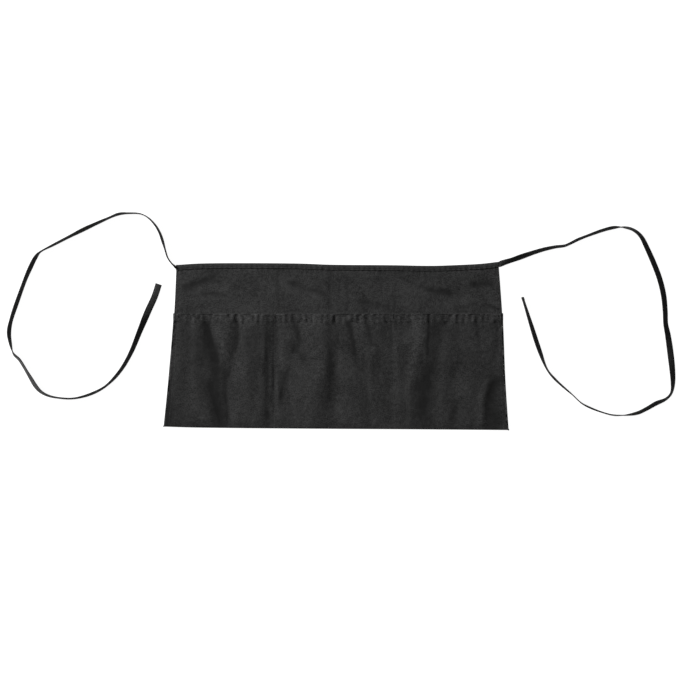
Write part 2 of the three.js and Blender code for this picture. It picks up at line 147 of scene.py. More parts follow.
class Finish:
    """One material, as a set of shader nodes round a Principled shader."""

    def __init__(self, name):
        self.material = bpy.data.materials.new(name)
        self.material.use_nodes = True
        self.tree = self.material.node_tree
        self.shader = self.tree.nodes["Principled BSDF"]

    def node(self, kind, settings=None, inputs=None):
        """Adds a node of any kind. Its settings are set first, then its sockets' values or links."""
        made = self.tree.nodes.new(kind)
        for key, value in (settings or {}).items():
            setattr(made, key, value)
        for key, value in (inputs or {}).items():
            self.feed(made.inputs[key], value)
        return made

    def feed(self, socket, value):
        if isinstance(value, Wire):
            self.tree.links.new(value.socket, socket)
        else:
            socket.default_value = value

    def wire(self, node, output):
        return Wire(self, node.outputs[output])

    def math(self, operation, first, second=0.0):
        node = self.node("ShaderNodeMath", {"operation": operation}, {0: first, 1: second})
        return self.wire(node, "Value")

    def blend(self, share, first, second):
        """A colour between two greys. The Mix node takes colours in its sockets 6 and 7."""
        inputs = {0: share, 6: (first, first, first, 1), 7: (second, second, second, 1)}
        return self.wire(self.node("ShaderNodeMix", {"data_type": "RGBA"}, inputs), 2)

    def noise(self, place, scale, detail=2.0):
        """Cloudy noise from 0 to 1."""
        inputs = {"Vector": place, "Scale": scale, "Detail": detail, "Roughness": 0.55}
        return self.wire(self.node("ShaderNodeTexNoise", None, inputs), "Fac")

    def bump(self, height, strength, distance):
        """Feeds a height to the shader's normal."""
        inputs = {"Strength": strength, "Distance": distance, "Height": height}
        node = self.node("ShaderNodeBump", None, inputs)
        self.feed(self.shader.inputs["Normal"], self.wire(node, "Normal"))


print("materials are written as sums of wires")

# %% [markdown]
# ## The twill
#
# Twill is woven with each warp yarn passing over two weft yarns and under one, one step further
# along in every row, and those steps line up as fine diagonal ribs. A picture of cloth would show
# its edges when it repeats, so the weave is worked out instead, from coordinates that the cloth
# carries in metres. It then bends and gathers with every fold. Dyed black cotton still varies: it
# is paler where it is rubbed and cloudy where it has been handled. One attribute carries that
# rubbed wear together with painted shade in the hollows and painted highlights on the crests, and
# tells the finish how much paler or blacker each place is drawn.

# %% Twill finish
YARN = 0.45 * MM  # from one yarn to the next
SHEEN, SHEEN_ROUGH = 0.02, 0.6
SHINE = 0.12
WEAVE_DEPTH = 0.25 * MM
# What the weave, the dye, the handling and the fuzz add to the shade, and where the shade starts
YARN_SHARE, DYE_SHARE, HANDLED_SHARE, FUZZ_SHARE, BLACK_LEVEL = 0.25, 0.8, 1.0, 1.9, 1.5
WEAR_AND_SHADING_SHARE, LEAST_SHADE = 0.95, 0.12
Shade = namedtuple("Shade", "name dark light rough relief")


def bulge(finish, across):
    """The round back of a yarn: 1 in its middle and 0 at its sides."""
    offset = across * 2.0 - 1.0
    return 1.0 - offset * offset


def weave(finish, cloth):
    """The height of a two-and-one twill, from 0 in its gaps to 1 on its yarns."""
    split = finish.node("ShaderNodeSeparateXYZ", None, {"Vector": cloth})
    weft = finish.wire(split, "X") / YARN
    warp = finish.wire(split, "Y") / YARN
    column = finish.math("FLOOR", weft)
    row = finish.math("FLOOR", warp)
    across, along = weft - column, warp - row
    step = finish.math("FLOORED_MODULO", column + row, 3.0)
    over = bulge(finish, across) * finish.math("SINE", (step + along) * (math.pi / 2))
    under = bulge(finish, along) * finish.math("SINE", across * math.pi) * 0.7
    on_top = step < 1.5
    return on_top * over + (1.0 - on_top) * under


def twill_finish(shade):
    """Black twill: its yarns, its cloudy dye, and its wear, painted shade and painted highlights."""
    finish = Finish(shade.name)
    cloth = finish.wire(finish.node("ShaderNodeUVMap", {"uv_map": "cloth"}), "UV")
    yarns = weave(finish, cloth)
    dye = finish.noise(cloth, 22.0, 3.0)
    handled = finish.noise(cloth, 160.0, 2.0)
    fuzz = finish.noise(cloth, 540.0, 1.0)
    # Rubbed wear, painted shade in hollows and painted highlights on crests, all in one attribute.
    wear_and_shading = finish.wire(finish.node("ShaderNodeAttribute", {"attribute_name": "wear_and_shading"}), "Fac")
    uneven = yarns * YARN_SHARE + dye * DYE_SHARE + handled * HANDLED_SHARE + fuzz * FUZZ_SHARE
    mottled = finish.math("MAXIMUM", uneven - BLACK_LEVEL, 0.0)
    # Scales the shade: blacker in painted shade, paler where rubbed and on painted highlights.
    kept = finish.math("MAXIMUM", wear_and_shading * WEAR_AND_SHADING_SHARE + 1.0, LEAST_SHADE)
    sockets = finish.shader.inputs
    finish.feed(sockets["Base Color"], finish.blend(mottled * kept, shade.dark, shade.light))
    finish.feed(sockets["Roughness"], shade.rough + fuzz * 0.1)
    sockets["Sheen Weight"].default_value = SHEEN
    sockets["Sheen Roughness"].default_value = SHEEN_ROUGH
    sockets["Specular IOR Level"].default_value = SHINE
    finish.bump(yarns + fuzz * 0.6 + handled * 0.8, shade.relief, WEAVE_DEPTH)
    return finish.material


PANEL_TWILL = twill_finish(Shade("panel twill", 0.0045, 0.0275, 0.9, 0.5))
TAPE_TWILL = twill_finish(Shade("tape twill", 0.007, 0.024, 0.88, 0.4))
print("two twill finishes, with yarns", YARN / MM, "mm apart")


# %% Thread finish
def thread_finish():
    """Black polyester thread, smoother than the cloth, with the twist of its strands."""
    finish = Finish("black thread")
    place = finish.wire(finish.node("ShaderNodeTexCoord"), "Object")
    strands = finish.noise(place, 2600.0, 1.0)
    finish.feed(finish.shader.inputs["Base Color"], finish.blend(strands, 0.008, 0.024))
    finish.shader.inputs["Roughness"].default_value = 0.6
    finish.bump(strands, 0.4, 0.1 * MM)
    return finish.material


THREAD = thread_finish()
print("one black thread for every stitch")

# %% Floor
FLOOR_SIZE = 40.0
FLOOR_GAP = 0.1 * MM
TABLE_GLOW = 0.97


def floor_finish():
    """White glass, lit from below."""
    finish = Finish("pale floor")
    place = finish.wire(finish.node("ShaderNodeTexCoord"), "Object")
    finish.feed(finish.shader.inputs["Base Color"], finish.blend(finish.noise(place, 1.5), 0.14, 0.16))
    finish.shader.inputs["Roughness"].default_value = 0.9
    finish.shader.inputs["Emission Color"].default_value = (1, 1, 1, 1)
    finish.shader.inputs["Emission Strength"].default_value = TABLE_GLOW
    return finish.material


bpy.ops.mesh.primitive_plane_add(size=FLOOR_SIZE, location=(0, 0, -FLOOR_GAP))
floor = bpy.context.object
floor.name = "floor"
floor.data.materials.append(floor_finish())
print("the floor is a plain pale plane")

# %% [markdown]
# ## Sizes and outline
#
# The real apron is cut with straight edges, but laid down by hand it has none: the waist edge
# sways, the bottom rises to the left, and the sides lean in. Short tables hold those curves as
# shares of the sizes, and a smooth line is read between their rows.

# %% Sizes
HEM_LENGTH = 609 * MM
WAIST_LENGTH = 569 * MM
APRON_HEIGHT = 294 * MM
POCKET_HEIGHT = 204 * MM
POCKET_EAR = 0.9 * MM  # how far the pocket's mouth stands out past the body
WAIST_SWAY = 7.3 * MM
FOOT_SWAY = 5.2 * MM
POCKET_HEM = 13 * MM
SIDE_HEM = 9 * MM
TAPE_WIDTH = 9.5 * MM
TIE_THICKNESS = 1.5 * MM
DRAWN_TAPE, DRAWN_THICKNESS = 11.6 * MM, 1.9 * MM  # a tie as it looks, fuller than its solid
CLOTH = 1 * MM
GAP = 0.3 * MM
PUFF = 8 * MM  # the height of a pocket fold that is marked 1, lower than in the solid
WRINKLE = 1.5 * MM  # the height of a body wrinkle that is marked 1

LAYER = CLOTH + GAP
MOUTH_SHARE = POCKET_HEIGHT / APRON_HEIGHT
BAND_FOLD = 1.5 * CLOTH + GAP
BAND_FOOT = 1 - (TAPE_WIDTH + WAIST_SWAY) / APRON_HEIGHT
MOUTH_LEVEL = POCKET_HEIGHT - APRON_HEIGHT / 2


def eased(share):
    """0 to 1 with a soft start and a soft end."""
    share = np.clip(share, 0, 1)
    return share * share * (3 - 2 * share)


def lerp(start, end, share):
    """A share of the way from start to end."""
    return start + (end - start) * share


def bell(distance, width):
    """1 at no distance and nearly 0 at twice the width."""
    return np.exp(-((distance / width) ** 2))


def smooth_line(places, values, at):
    """Reads values given at places along one smooth line, with slopes taken from the neighbours."""
    places, values = np.asarray(places, float), np.asarray(values, float)
    order, last = np.arange(len(places)), len(places) - 1
    before, after = np.maximum(order - 1, 0), np.minimum(order + 1, last)
    slopes = (values[after] - values[before]) / (places[after] - places[before])
    at = np.asarray(at, float)
    k = np.clip(np.searchsorted(places, at) - 1, 0, last - 1)
    run = places[k + 1] - places[k]
    t = (at - places[k]) / run
    ends = values[k] * (1 + 2 * t) * (1 - t) ** 2 + values[k + 1] * t * t * (3 - 2 * t)
    return ends + run * t * (1 - t) * (slopes[k] * (1 - t) - slopes[k + 1] * t)


# %% Outline
SIDES_UP = (0, 0.29, 0.69, 1)
LEFT_TAPER = (0, 0.18, 0.44, 0.56)
RIGHT_TAPER = (0, 0.125, 0.245, 0.44)
WAIST_ACROSS = (0, 0.07, 0.2, 0.38, 0.48, 0.67, 0.79, 0.87, 0.945, 1)
WAIST_DIP = (0.81, 0.44, 0.34, 0.44, 0.73, 0.85, 1, 0.81, 0.49, 0)
FOOT_ACROSS = (0, 0.09, 0.35, 0.7, 1)
FOOT_RISE = (1, 0.69, 0.41, 0.21, 0)
TAPER = HEM_LENGTH - WAIST_LENGTH
# Washed cloth spreads: the millimetres by which its edges lie outside those of the solids
LEFT_OUT = (1.9, 0.4, 0.9, 1.5)
RIGHT_OUT = (2.4, 1.4, 0.8, 2)
WAIST_OUT = 2.4
FOOT_OUT = (2, 2.9)


def left_edge(up):
    out = smooth_line(SIDES_UP, LEFT_OUT, up) * MM
    return -HEM_LENGTH / 2 + TAPER * smooth_line(SIDES_UP, LEFT_TAPER, up) - out


def right_edge(up):
    out = smooth_line(SIDES_UP, RIGHT_OUT, up) * MM
    return HEM_LENGTH / 2 - TAPER * smooth_line(SIDES_UP, RIGHT_TAPER, up) + out


def waist_edge(across):
    dip = WAIST_SWAY * smooth_line(WAIST_ACROSS, WAIST_DIP, across)
    return APRON_HEIGHT / 2 + WAIST_OUT * MM - dip


def foot_edge(across):
    rise = FOOT_SWAY * smooth_line(FOOT_ACROSS, FOOT_RISE, across)
    return -APRON_HEIGHT / 2 - lerp(*FOOT_OUT, across) * MM + rise


def level_at(across, up, foot=0.0, top=0.0):
    """The level of a share up the apron, in even steps below the pocket's mouth and above it.

    foot and top are how far the layer stops short of the outline there.
    """
    below = lerp(foot_edge(across) + foot, MOUTH_LEVEL, up / MOUTH_SHARE)
    above = lerp(MOUTH_LEVEL, waist_edge(across) - top, (up - MOUTH_SHARE) / (1 - MOUTH_SHARE))
    return np.where(up < MOUTH_SHARE, below, above)


print(f"the apron is {HEM_LENGTH:.3f} m wide at the bottom and {APRON_HEIGHT:.3f} m long")

# %% [markdown]
# ## Cloth as a grid
#
# Every layer of cloth here starts as a grid of points, because cloth is a grid: its rows are weft
# and its columns are warp. The grid's outer face is placed by a formula, and the Solidify modifier
# gives it the thickness of the cloth behind that face. The grid also carries the cloth's own
# coordinates in metres, for the weave, and a value for its wear and painted shading.


# %% Grids and strips
def new_piece(name, mesh, material):
    """An object at the origin for a finished mesh, smooth shaded."""
    piece = bpy.data.objects.new(name, mesh)
    bpy.context.scene.collection.objects.link(piece)
    mesh.materials.clear()
    mesh.materials.append(material)
    mesh.polygons.foreach_set("use_smooth", np.ones(len(mesh.polygons), bool))
    return piece


def carry(mesh, cloth, wear_and_shading):
    """Stores the cloth's coordinates as a UV map, its wear and painted shading as an attribute."""
    corner = np.zeros(len(mesh.loops), np.int32)
    mesh.loops.foreach_get("vertex_index", corner)
    layer = mesh.uv_layers.new(name="cloth")
    layer.data.foreach_set("uv", cloth.reshape(-1, 2)[corner].astype(np.float32).ravel())
    attribute = mesh.attributes.new("wear_and_shading", "FLOAT", "POINT")
    attribute.data.foreach_set("value", wear_and_shading.astype(np.float32).ravel())


def grid_mesh(name, points, cloth, wear_and_shading):
    """A sheet from a grid of points, rows by columns, facing up."""
    rows, columns = points.shape[:2]
    corner = np.arange(rows * columns).reshape(rows, columns)
    faces = np.stack([corner[:-1, :-1], corner[:-1, 1:], corner[1:, 1:], corner[1:, :-1]], axis=-1)
    mesh = bpy.data.meshes.new(name)
    mesh.from_pydata(points.reshape(-1, 3).tolist(), [], faces.reshape(-1, 4).tolist())
    carry(mesh, cloth, wear_and_shading)
    return mesh


def baked(piece):
    """Turns what a piece's modifiers make into its own mesh and removes them."""
    graph = bpy.context.evaluated_depsgraph_get()
    made = bpy.data.meshes.new_from_object(piece.evaluated_get(graph), depsgraph=graph)
    piece.modifiers.clear()
    old, piece.data = piece.data, made
    bpy.data.meshes.remove(old)
    return piece


def sheet_piece(name, points, cloth, wear_and_shading, thickness, material):
    """A layer of cloth: its outer face is the grid, and its thickness lies behind it."""
    piece = new_piece(name, grid_mesh(name, points, cloth, wear_and_shading), material)
    solid = piece.modifiers.new("thickness", "SOLIDIFY")
    solid.thickness = thickness
    solid.offset = -1
    baked(piece)
    for vertex in piece.data.vertices:
        vertex.co.z = max(vertex.co.z, 0)
    print(name, "has", len(piece.data.polygons), "faces")
    return piece


def walked_along(points):
    """How far along a line of points each of them lies."""
    return np.concatenate([[0], np.cumsum(np.linalg.norm(np.diff(points, axis=0), axis=1))])


def measured(points):
    """The cloth's own coordinates: metres along its rows and up its columns."""
    rows = np.linalg.norm(np.diff(points, axis=1), axis=2).mean(axis=0)
    columns = np.linalg.norm(np.diff(points, axis=0), axis=2).mean(axis=1)
    across, up = np.concatenate([[0], np.cumsum(rows)]), np.concatenate([[0], np.cumsum(columns)])
    return np.stack(np.meshgrid(across, up), axis=-1)


def facing(points):
    """The outward direction at each point of a grid."""
    normal = np.cross(np.gradient(points, axis=1), np.gradient(points, axis=0))
    return normal / np.maximum(np.linalg.norm(normal, axis=2, keepdims=True), 1e-12)


# %% Small unevenness
NOISE_CELLS = 128
NOISE_START = (40.3, 40.7)  # keeps the places that are read clear of the noise's own edges


def cloudy(x, y, size, seed):
    """Soft hills and hollows from -1 to 1, about size apart, the same on every run."""
    heights = np.random.default_rng(seed).uniform(-1, 1, (NOISE_CELLS, NOISE_CELLS))
    u, v = x / size + NOISE_START[0], y / size + NOISE_START[1]
    column, row = np.floor(u).astype(int), np.floor(v).astype(int)
    s, t = eased(u - column), eased(v - row)
    rows = [row % NOISE_CELLS, (row + 1) % NOISE_CELLS]
    columns = [column % NOISE_CELLS, (column + 1) % NOISE_CELLS]
    corner = [[heights[b, a] for a in columns] for b in rows]
    return lerp(lerp(corner[0][0], corner[0][1], s), lerp(corner[1][0], corner[1][1], s), t)


# %% [markdown]
# ## The pocket panel
#
# The pocket cloth is a little wider than the body behind it, and that spare width stands up in
# folds between the seams. A cloth simulation would find folds of its own. Here the folds are known,
# so a table holds them: where each crest and valley crosses the pocket at five heights, and how
# high it stands there. Between two of them the cloth is round on the crest and creased in the
# valley.

# %% The pocket's folds
STATIONS = (1, 0.78, 0.56, 0.34, 0.1)  # mouth, upper, middle, lower, near the foot
SEAM = SIDE_HEM / HEM_LENGTH
LEVEL = (0,) * 5
Fold = namedtuple("Fold", "name at high crease")
FOLDS = (
    Fold("left edge", (0,) * 5, LEVEL, 0),
    Fold("left seam", (SEAM,) * 5, LEVEL, 1),
    Fold("left crest", (0.036, 0.054, 0.054, 0.066, 0.06), (0.2, 0.25, 0.28, 0.28, 0.2), 0),
    Fold("left shoulder", (0.063, 0.078, 0.081, 0.104, 0.131), (0.42, 0.42, 0.46, 0.5, 0.42), 0),
    Fold("long valley", (0.103, 0.123, 0.146, 0.138, 0.163), (0.06, 0.05, 0.04, 0.28, 0.15), 0.6),
    Fold("tongue", (0.167, 0.174, 0.164, 0.147, 0.17), (0.42, 0.42, 0.09, 0.26, 0.14), 0),
    Fold("short valley", (0.196, 0.202, 0.188, 0.177, 0.186), (0.18, 0.28, 0.06, 0.04, 0.03), 0.6),
    Fold("second crest", (0.24, 0.224, 0.236, 0.231, 0.242), (0.55, 0.45, 0.45, 0.38, 0.28), 0),
    Fold("soft valley", (0.26, 0.25, 0.257, 0.261, 0.262), (0.51, 0.38, 0.34, 0.32, 0.25), 0),
    Fold("third crest", (0.279, 0.278, 0.278, 0.284, 0.278), (0.32, 0.36, 0.32, 0.28, 0.24), 0),
    Fold("seam hollow", (0.292, 0.291, 0.294, 0.302, 0.305), (0.16, 0.17, 0.1, 0.1, 0.04), 0.3),
    Fold("seam ridge", (0.298, 0.298, 0.303, 0.31, 0.312), (0.08, 0.1, 0.08, 0.06, 0.03), 0),
    Fold("first divider", (0.307, 0.31, 0.312, 0.317, 0.321), LEVEL, 0.3),
    Fold("fourth crest", (0.346, 0.352, 0.338, 0.329, 0.344), (0.16, 0.2, 0.12, 0.1, 0.1), 0),
    Fold("leaning valley", (0.377, 0.386, 0.356, 0.362, 0.362), (0.11, 0.1, 0.14, 0.04, 0.09), 0.3),
    Fold("wide rise", (0.42, 0.431, 0.4, 0.403, 0.403), (0.35, 0.45, 0.32, 0.32, 0.2), 0),
    Fold("wide crest", (0.45, 0.461, 0.462, 0.45, 0.441), (0.52, 0.58, 0.55, 0.55, 0.28), 0),
    Fold("middle valley", (0.49, 0.488, 0.502, 0.502, 0.494), (0.38, 0.46, 0.1, 0.08, 0.06), 0.2),
    Fold("middle crest", (0.52, 0.521, 0.541, 0.545, 0.541), (0.36, 0.46, 0.32, 0.28, 0.2), 0),
    Fold("hem valley", (0.537, 0.552, 0.562, 0.575, 0.576), (0.19, 0.28, 0.29, 0.31, 0.21), 0.5),
    Fold("fifth crest", (0.581, 0.588, 0.584, 0.592, 0.599), (0.31, 0.35, 0.3, 0.27, 0.18), 0),
    Fold("faint valley", (0.599, 0.612, 0.601, 0.61, 0.617), (0.32, 0.36, 0.36, 0.29, 0.2), 0.3),
    Fold("sixth crest", (0.639, 0.648, 0.63, 0.646, 0.637), (0.14, 0.14, 0.14, 0.12, 0.1), 0),
    Fold("second divider", (0.666, 0.666, 0.666, 0.668, 0.669), LEVEL, 0.2),
    Fold("seventh crest", (0.694, 0.681, 0.686, 0.687, 0.687), (0.08, 0.06, 0.1, 0.1, 0.08), 0),
    Fold("narrow valley", (0.715, 0.697, 0.699, 0.7, 0.702), (0.1, 0.07, 0.1, 0.08, 0.08), 0.3),
    Fold("tall crest", (0.762, 0.759, 0.738, 0.717, 0.718), (0.33, 0.33, 0.32, 0.22, 0.16), 0),
    Fold("sharp valley", (0.781, 0.781, 0.771, 0.738, 0.746), (0.3, 0.22, 0.16, 0.12, 0.08), 0.4),
    Fold("hollow floor", (0.828, 0.811, 0.798, 0.791, 0.784), (0.18, 0.04, 0.05, 0.03, 0.05), 0),
    Fold("eighth crest", (0.852, 0.837, 0.831, 0.81, 0.817), (0.25, 0.15, 0.15, 0.1, 0.25), 0),
    Fold("shallow valley", (0.87, 0.865, 0.866, 0.832, 0.857), (0.19, 0.08, 0.05, 0.05, 0.15), 0),
    Fold("ninth crest", (0.904, 0.914, 0.914, 0.888, 0.877), (0.24, 0.22, 0.2, 0.3, 0.2), 0),
    Fold("side valley", (0.925, 0.93, 0.93, 0.906, 0.892), (0.11, 0.14, 0.18, 0.36, 0.22), 0),
    Fold("last crest", (0.955, 0.957, 0.952, 0.924, 0.914), (0.12, 0.14, 0.14, 0.34, 0.26), 0),
    Fold("right seam", (1 - SEAM,) * 5, LEVEL, 0.2),
    Fold("right edge", (1,) * 5, LEVEL, 0),
)
COLUMN_STEP = 1.9 * MM
ROW_STEP = 2 * MM
PRESSED_FOOT = 0.07  # the share of the pocket above its foot that is pressed flat by the fold
STIFF_MOUTH = 0.5  # the share of a fold's height that the stitched hem lets stand
STIFF_FROM, STIFF_OVER = 0.9, 0.06  # where the hem starts to hold, and the share it takes to do so


def at_stations(values, up):
    """Reads a fold's five values at any height. Below the last one a fold runs straight down."""
    return smooth_line(STATIONS[::-1], values[::-1], max(up, STATIONS[-1]))


def fold_profile(up, columns):
    """Where each column crosses the pocket at a share up it, and how high it stands, in metres."""
    at = np.array([at_stations(fold.at, up) for fold in FOLDS])
    pressed = np.sin(math.pi / 2 * min(1, up / PRESSED_FOOT))
    pressed *= lerp(1, STIFF_MOUTH, eased((up - STIFF_FROM) / STIFF_OVER))
    high = np.maximum([at_stations(fold.high, up) for fold in FOLDS], 0) * PUFF * pressed
    crease = np.array([fold.crease for fold in FOLDS])
    step, rise = np.diff(at), np.diff(high)
    tilt = rise / step
    same_way = tilt[:-1] * tilt[1:] > 0
    middle = np.zeros(len(FOLDS))
    middle[1:-1][same_way] = (2 * tilt[:-1] * tilt[1:] / (tilt[:-1] + tilt[1:]))[same_way]
    leaving = np.where(crease[:-1] > 0, 1.5 * crease[:-1] * tilt, middle[:-1]) * step
    arriving = np.where(crease[1:] > 0, 1.5 * crease[1:] * tilt, middle[1:]) * step
    k, t = columns[:, 0].astype(int), columns[:, 1]
    across = lerp(at[k], at[k + 1], t)
    height = high[k] * (1 + 2 * t) * (1 - t) ** 2 + high[k + 1] * t * t * (3 - 2 * t)
    height += t * (1 - t) * (leaving[k] * (1 - t) - arriving[k] * t)
    return across, height


def fold_columns():
    """Each column of the grid as the fold on its left and its share of the way to the next."""
    columns = []
    for k in range(len(FOLDS) - 1):
        width = (FOLDS[k + 1].at[0] - FOLDS[k].at[0]) * HEM_LENGTH
        steps = max(3, math.ceil(width / COLUMN_STEP))
        columns += [(k, step / steps) for step in range(steps)]
    return np.array(columns + [(len(FOLDS) - 2, 1.0)])


def column_of(name):
    """The grid's column that runs along a named fold."""
    k = [fold.name for fold in FOLDS].index(name)
    return int(np.argmin(np.abs(COLUMNS[:, 0] - k) + COLUMNS[:, 1])) if k < len(FOLDS) - 1 else -1


COLUMNS = fold_columns()
print(len(FOLDS), "folds take", len(COLUMNS), "columns")

# %% [markdown]
# ## Gathers and creases
#
# Where the turned-in mouth was topstitched, the thread drew the cloth together, and it stands in
# short gathers between the stitches. The same happens in small ripples along every seam. These are
# narrower than the folds, and each is a short dent or ridge beside a line. A table of creases holds
# the rest: small folds that cross the big ones, as lines over the cloth with a depth and a width.

# %% Creases
Crease = namedtuple("Crease", "name line lift width")  # a line in shares, then millimetres
POCKET_CREASES = (
    Crease("slant", ((0.362, 0.70), (0.39, 0.655), (0.418, 0.58)), -1.3, 5),
    Crease("under the slant", ((0.355, 0.52), (0.35, 0.4), (0.34, 0.23)), -1.1, 5),
    Crease("left broad hollow", ((0.07, 0.62), (0.1, 0.5), (0.12, 0.42)), -1.2, 16),
    Crease("right corner", ((0.975, 0.46), (0.948, 0.4), (0.93, 0.25), (0.924, 0)), 1.6, 6),
    Crease("left corner", ((0.012, 0.25), (0.02, 0.02)), -0.8, 8),
    Crease("right mouth slant", ((0.838, 0.98), (0.828, 0.91)), -1.6, 4),
    Crease("across the fifth", ((0.605, 0.75), (0.65, 0.68)), -0.8, 5),
    Crease("low right", ((0.86, 0.24), (0.835, 0)), -0.9, 6),
    Crease("left horizontal", ((0.03, 0.55), (0.075, 0.53)), -0.5, 4),
)
BODY_CREASES = (
    Crease("left diagonal", ((0.012, 0.858), (0.11, 0.93), (0.135, 0.965)), -1.5, 5),
    Crease("left line", ((0.08, 0.825), (0.15, 0.812)), -0.8, 3),
    Crease("above first divider", ((0.318, 0.965), (0.316, 0.70)), -0.7, 2.5),
    Crease("above middle", ((0.475, 0.95), (0.475, 0.70)), -0.5, 3),
    Crease("above hem valley", ((0.528, 0.94), (0.528, 0.72)), -0.6, 3),
    Crease("above second divider", ((0.678, 0.95), (0.668, 0.70)), -0.7, 2.5),
    Crease("right wedge", ((0.762, 0.868), (0.807, 0.838), (0.868, 0.828)), -1.4, 5),
    Crease("right ellipse", ((0.915, 0.876), (0.975, 0.88)), -1.4, 6),
    Crease("right side", ((0.955, 0.755), (0.985, 0.735)), -1, 3),
    Crease("right mouth", ((0.86, 0.712), (0.9, 0.714)), -1.1, 3),
    Crease("middle arc", ((0.345, 0.885), (0.4, 0.865), (0.46, 0.825)), -1, 7),
    Crease("over the pocket", ((0.575, 0.785), (0.66, 0.745)), -0.7, 6),
    Crease("small slant", ((0.692, 0.905), (0.73, 0.89)), -0.7, 3.5),
)


def beside_line(line, x, y, to_metres):
    """Each point's distance from a line over the cloth, and how far along it that is, from 0 to 1."""
    knots = np.array([to_metres(*point) for point in line])
    steps = np.linalg.norm(np.diff(knots, axis=0), axis=1)
    whole, walked = steps.sum(), 0.0
    near, share = np.full(x.shape, np.inf), np.zeros_like(x)
    for start, end, step in zip(knots[:-1], knots[1:], steps):
        way = (end - start) / step
        along = np.clip((x - start[0]) * way[0] + (y - start[1]) * way[1], 0, step)
        off = np.hypot(x - start[0] - along * way[0], y - start[1] - along * way[1])
        share = np.where(off < near, (walked + along) / whole, share)
        near = np.minimum(near, off)
        walked += step
    return near, share


def crease_lift(creases, x, y, to_metres):
    """What the creases add to a cloth's height at each of its points, least at their ends."""
    lift = np.zeros_like(x)
    for crease in creases:
        near, share = beside_line(crease.line, x, y, to_metres)
        ends = eased(share / 0.25) * eased((1 - share) / 0.25) * 0.75 + 0.25
        lift += crease.lift * MM * ends * bell(near, crease.width * MM)
    return lift


print(len(POCKET_CREASES) + len(BODY_CREASES), "creases are charted")

# %% Gathers along the pocket's mouth
Gather = namedtuple("Gather", "at deep wide")  # a share across the mouth, then millimetres
GATHERS = [Gather(*row) for row in (
    (0.042, 0.9, 2.4), (0.068, 0.7, 2), (0.095, 2, 3), (0.131, 0.7, 2),
    (0.141, 0.9, 2), (0.192, 2, 3), (0.223, 0.9, 2.4), (0.244, 0.9, 2),
    (0.265, 1, 2.2), (0.308, 1.6, 2.4), (0.344, 1, 2.2), (0.36, 1.4, 2.6),
    (0.414, 0.9, 2.6), (0.457, 1, 2.2), (0.487, 1.2, 2.2), (0.512, 1, 2),
    (0.533, 1.7, 2.4), (0.589, 1.3, 2.6), (0.618, 1, 2.2), (0.649, 0.9, 2),
    (0.7, 0.9, 2.2), (0.719, 0.8, 2), (0.737, 0.7, 2), (0.776, 2.2, 2.6),
    (0.837, 1.4, 2.8), (0.862, 0.9, 2.2), (0.883, 0.8, 2.2), (0.907, 1, 2.4),
    (0.944, 0.8, 2.4),
)]
GATHER_SHARE = 0.35  # how much of a gather's depth the pressed hem lets stand
GATHER_LEAN = 1.5 * MM
GATHER_FADE = 5 * MM  # how far below the hem's stitches a gather reaches
BEAD_PITCH, BEAD_HEIGHT = 11.5 * MM, 0.3 * MM  # the small even puffs between the gathers
HEM_STITCH = 12 * MM  # from the mouth down to its row of stitches
HEM_DENT, HEM_DENT_WIDTH = 0.45 * MM, 1.1 * MM
RIPPLE_PITCH = 9 * MM


def gather_lift(x, y, left, right):
    """The gathers under the pocket's mouth, strongest on the hem and gone a little below it."""
    below = MOUTH_LEVEL - y
    lift = np.zeros_like(x)
    for gather in GATHERS:
        lean = GATHER_LEAN * np.sin(40 * gather.at) * below / HEM_STITCH
        middle = lerp(left, right, gather.at) + lean
        lift -= gather.deep * MM * bell(x - middle, gather.wide * MM)
    fine = 0.7 * MM * cloudy(x, y / 1.5, 5.2 * MM, 11) + 0.35 * MM * cloudy(x, y / 2, 8 * MM, 12)
    drift = 3 * cloudy(x, x * 0, 26 * MM, 13)
    beads = BEAD_HEIGHT * np.sin(x / BEAD_PITCH * 2 * math.pi + drift)
    hold = bell(np.maximum(below - HEM_STITCH, 0), GATHER_FADE)
    gathered = (GATHER_SHARE * lift + fine + beads) * hold * eased(below / (2.5 * MM))
    return gathered - HEM_DENT * bell(below - HEM_STITCH, HEM_DENT_WIDTH)


def ripple_lift(distance, along, reach, height, seed):
    """Ripples beside a seam: they run away from it and fade with distance."""
    drift = 2.5 * cloudy(along, along * 0, 31 * MM, seed)
    return height * np.sin(along / RIPPLE_PITCH * 2 * math.pi + drift) * bell(distance, reach)


print(len(GATHERS), "gathers stand on the hem")
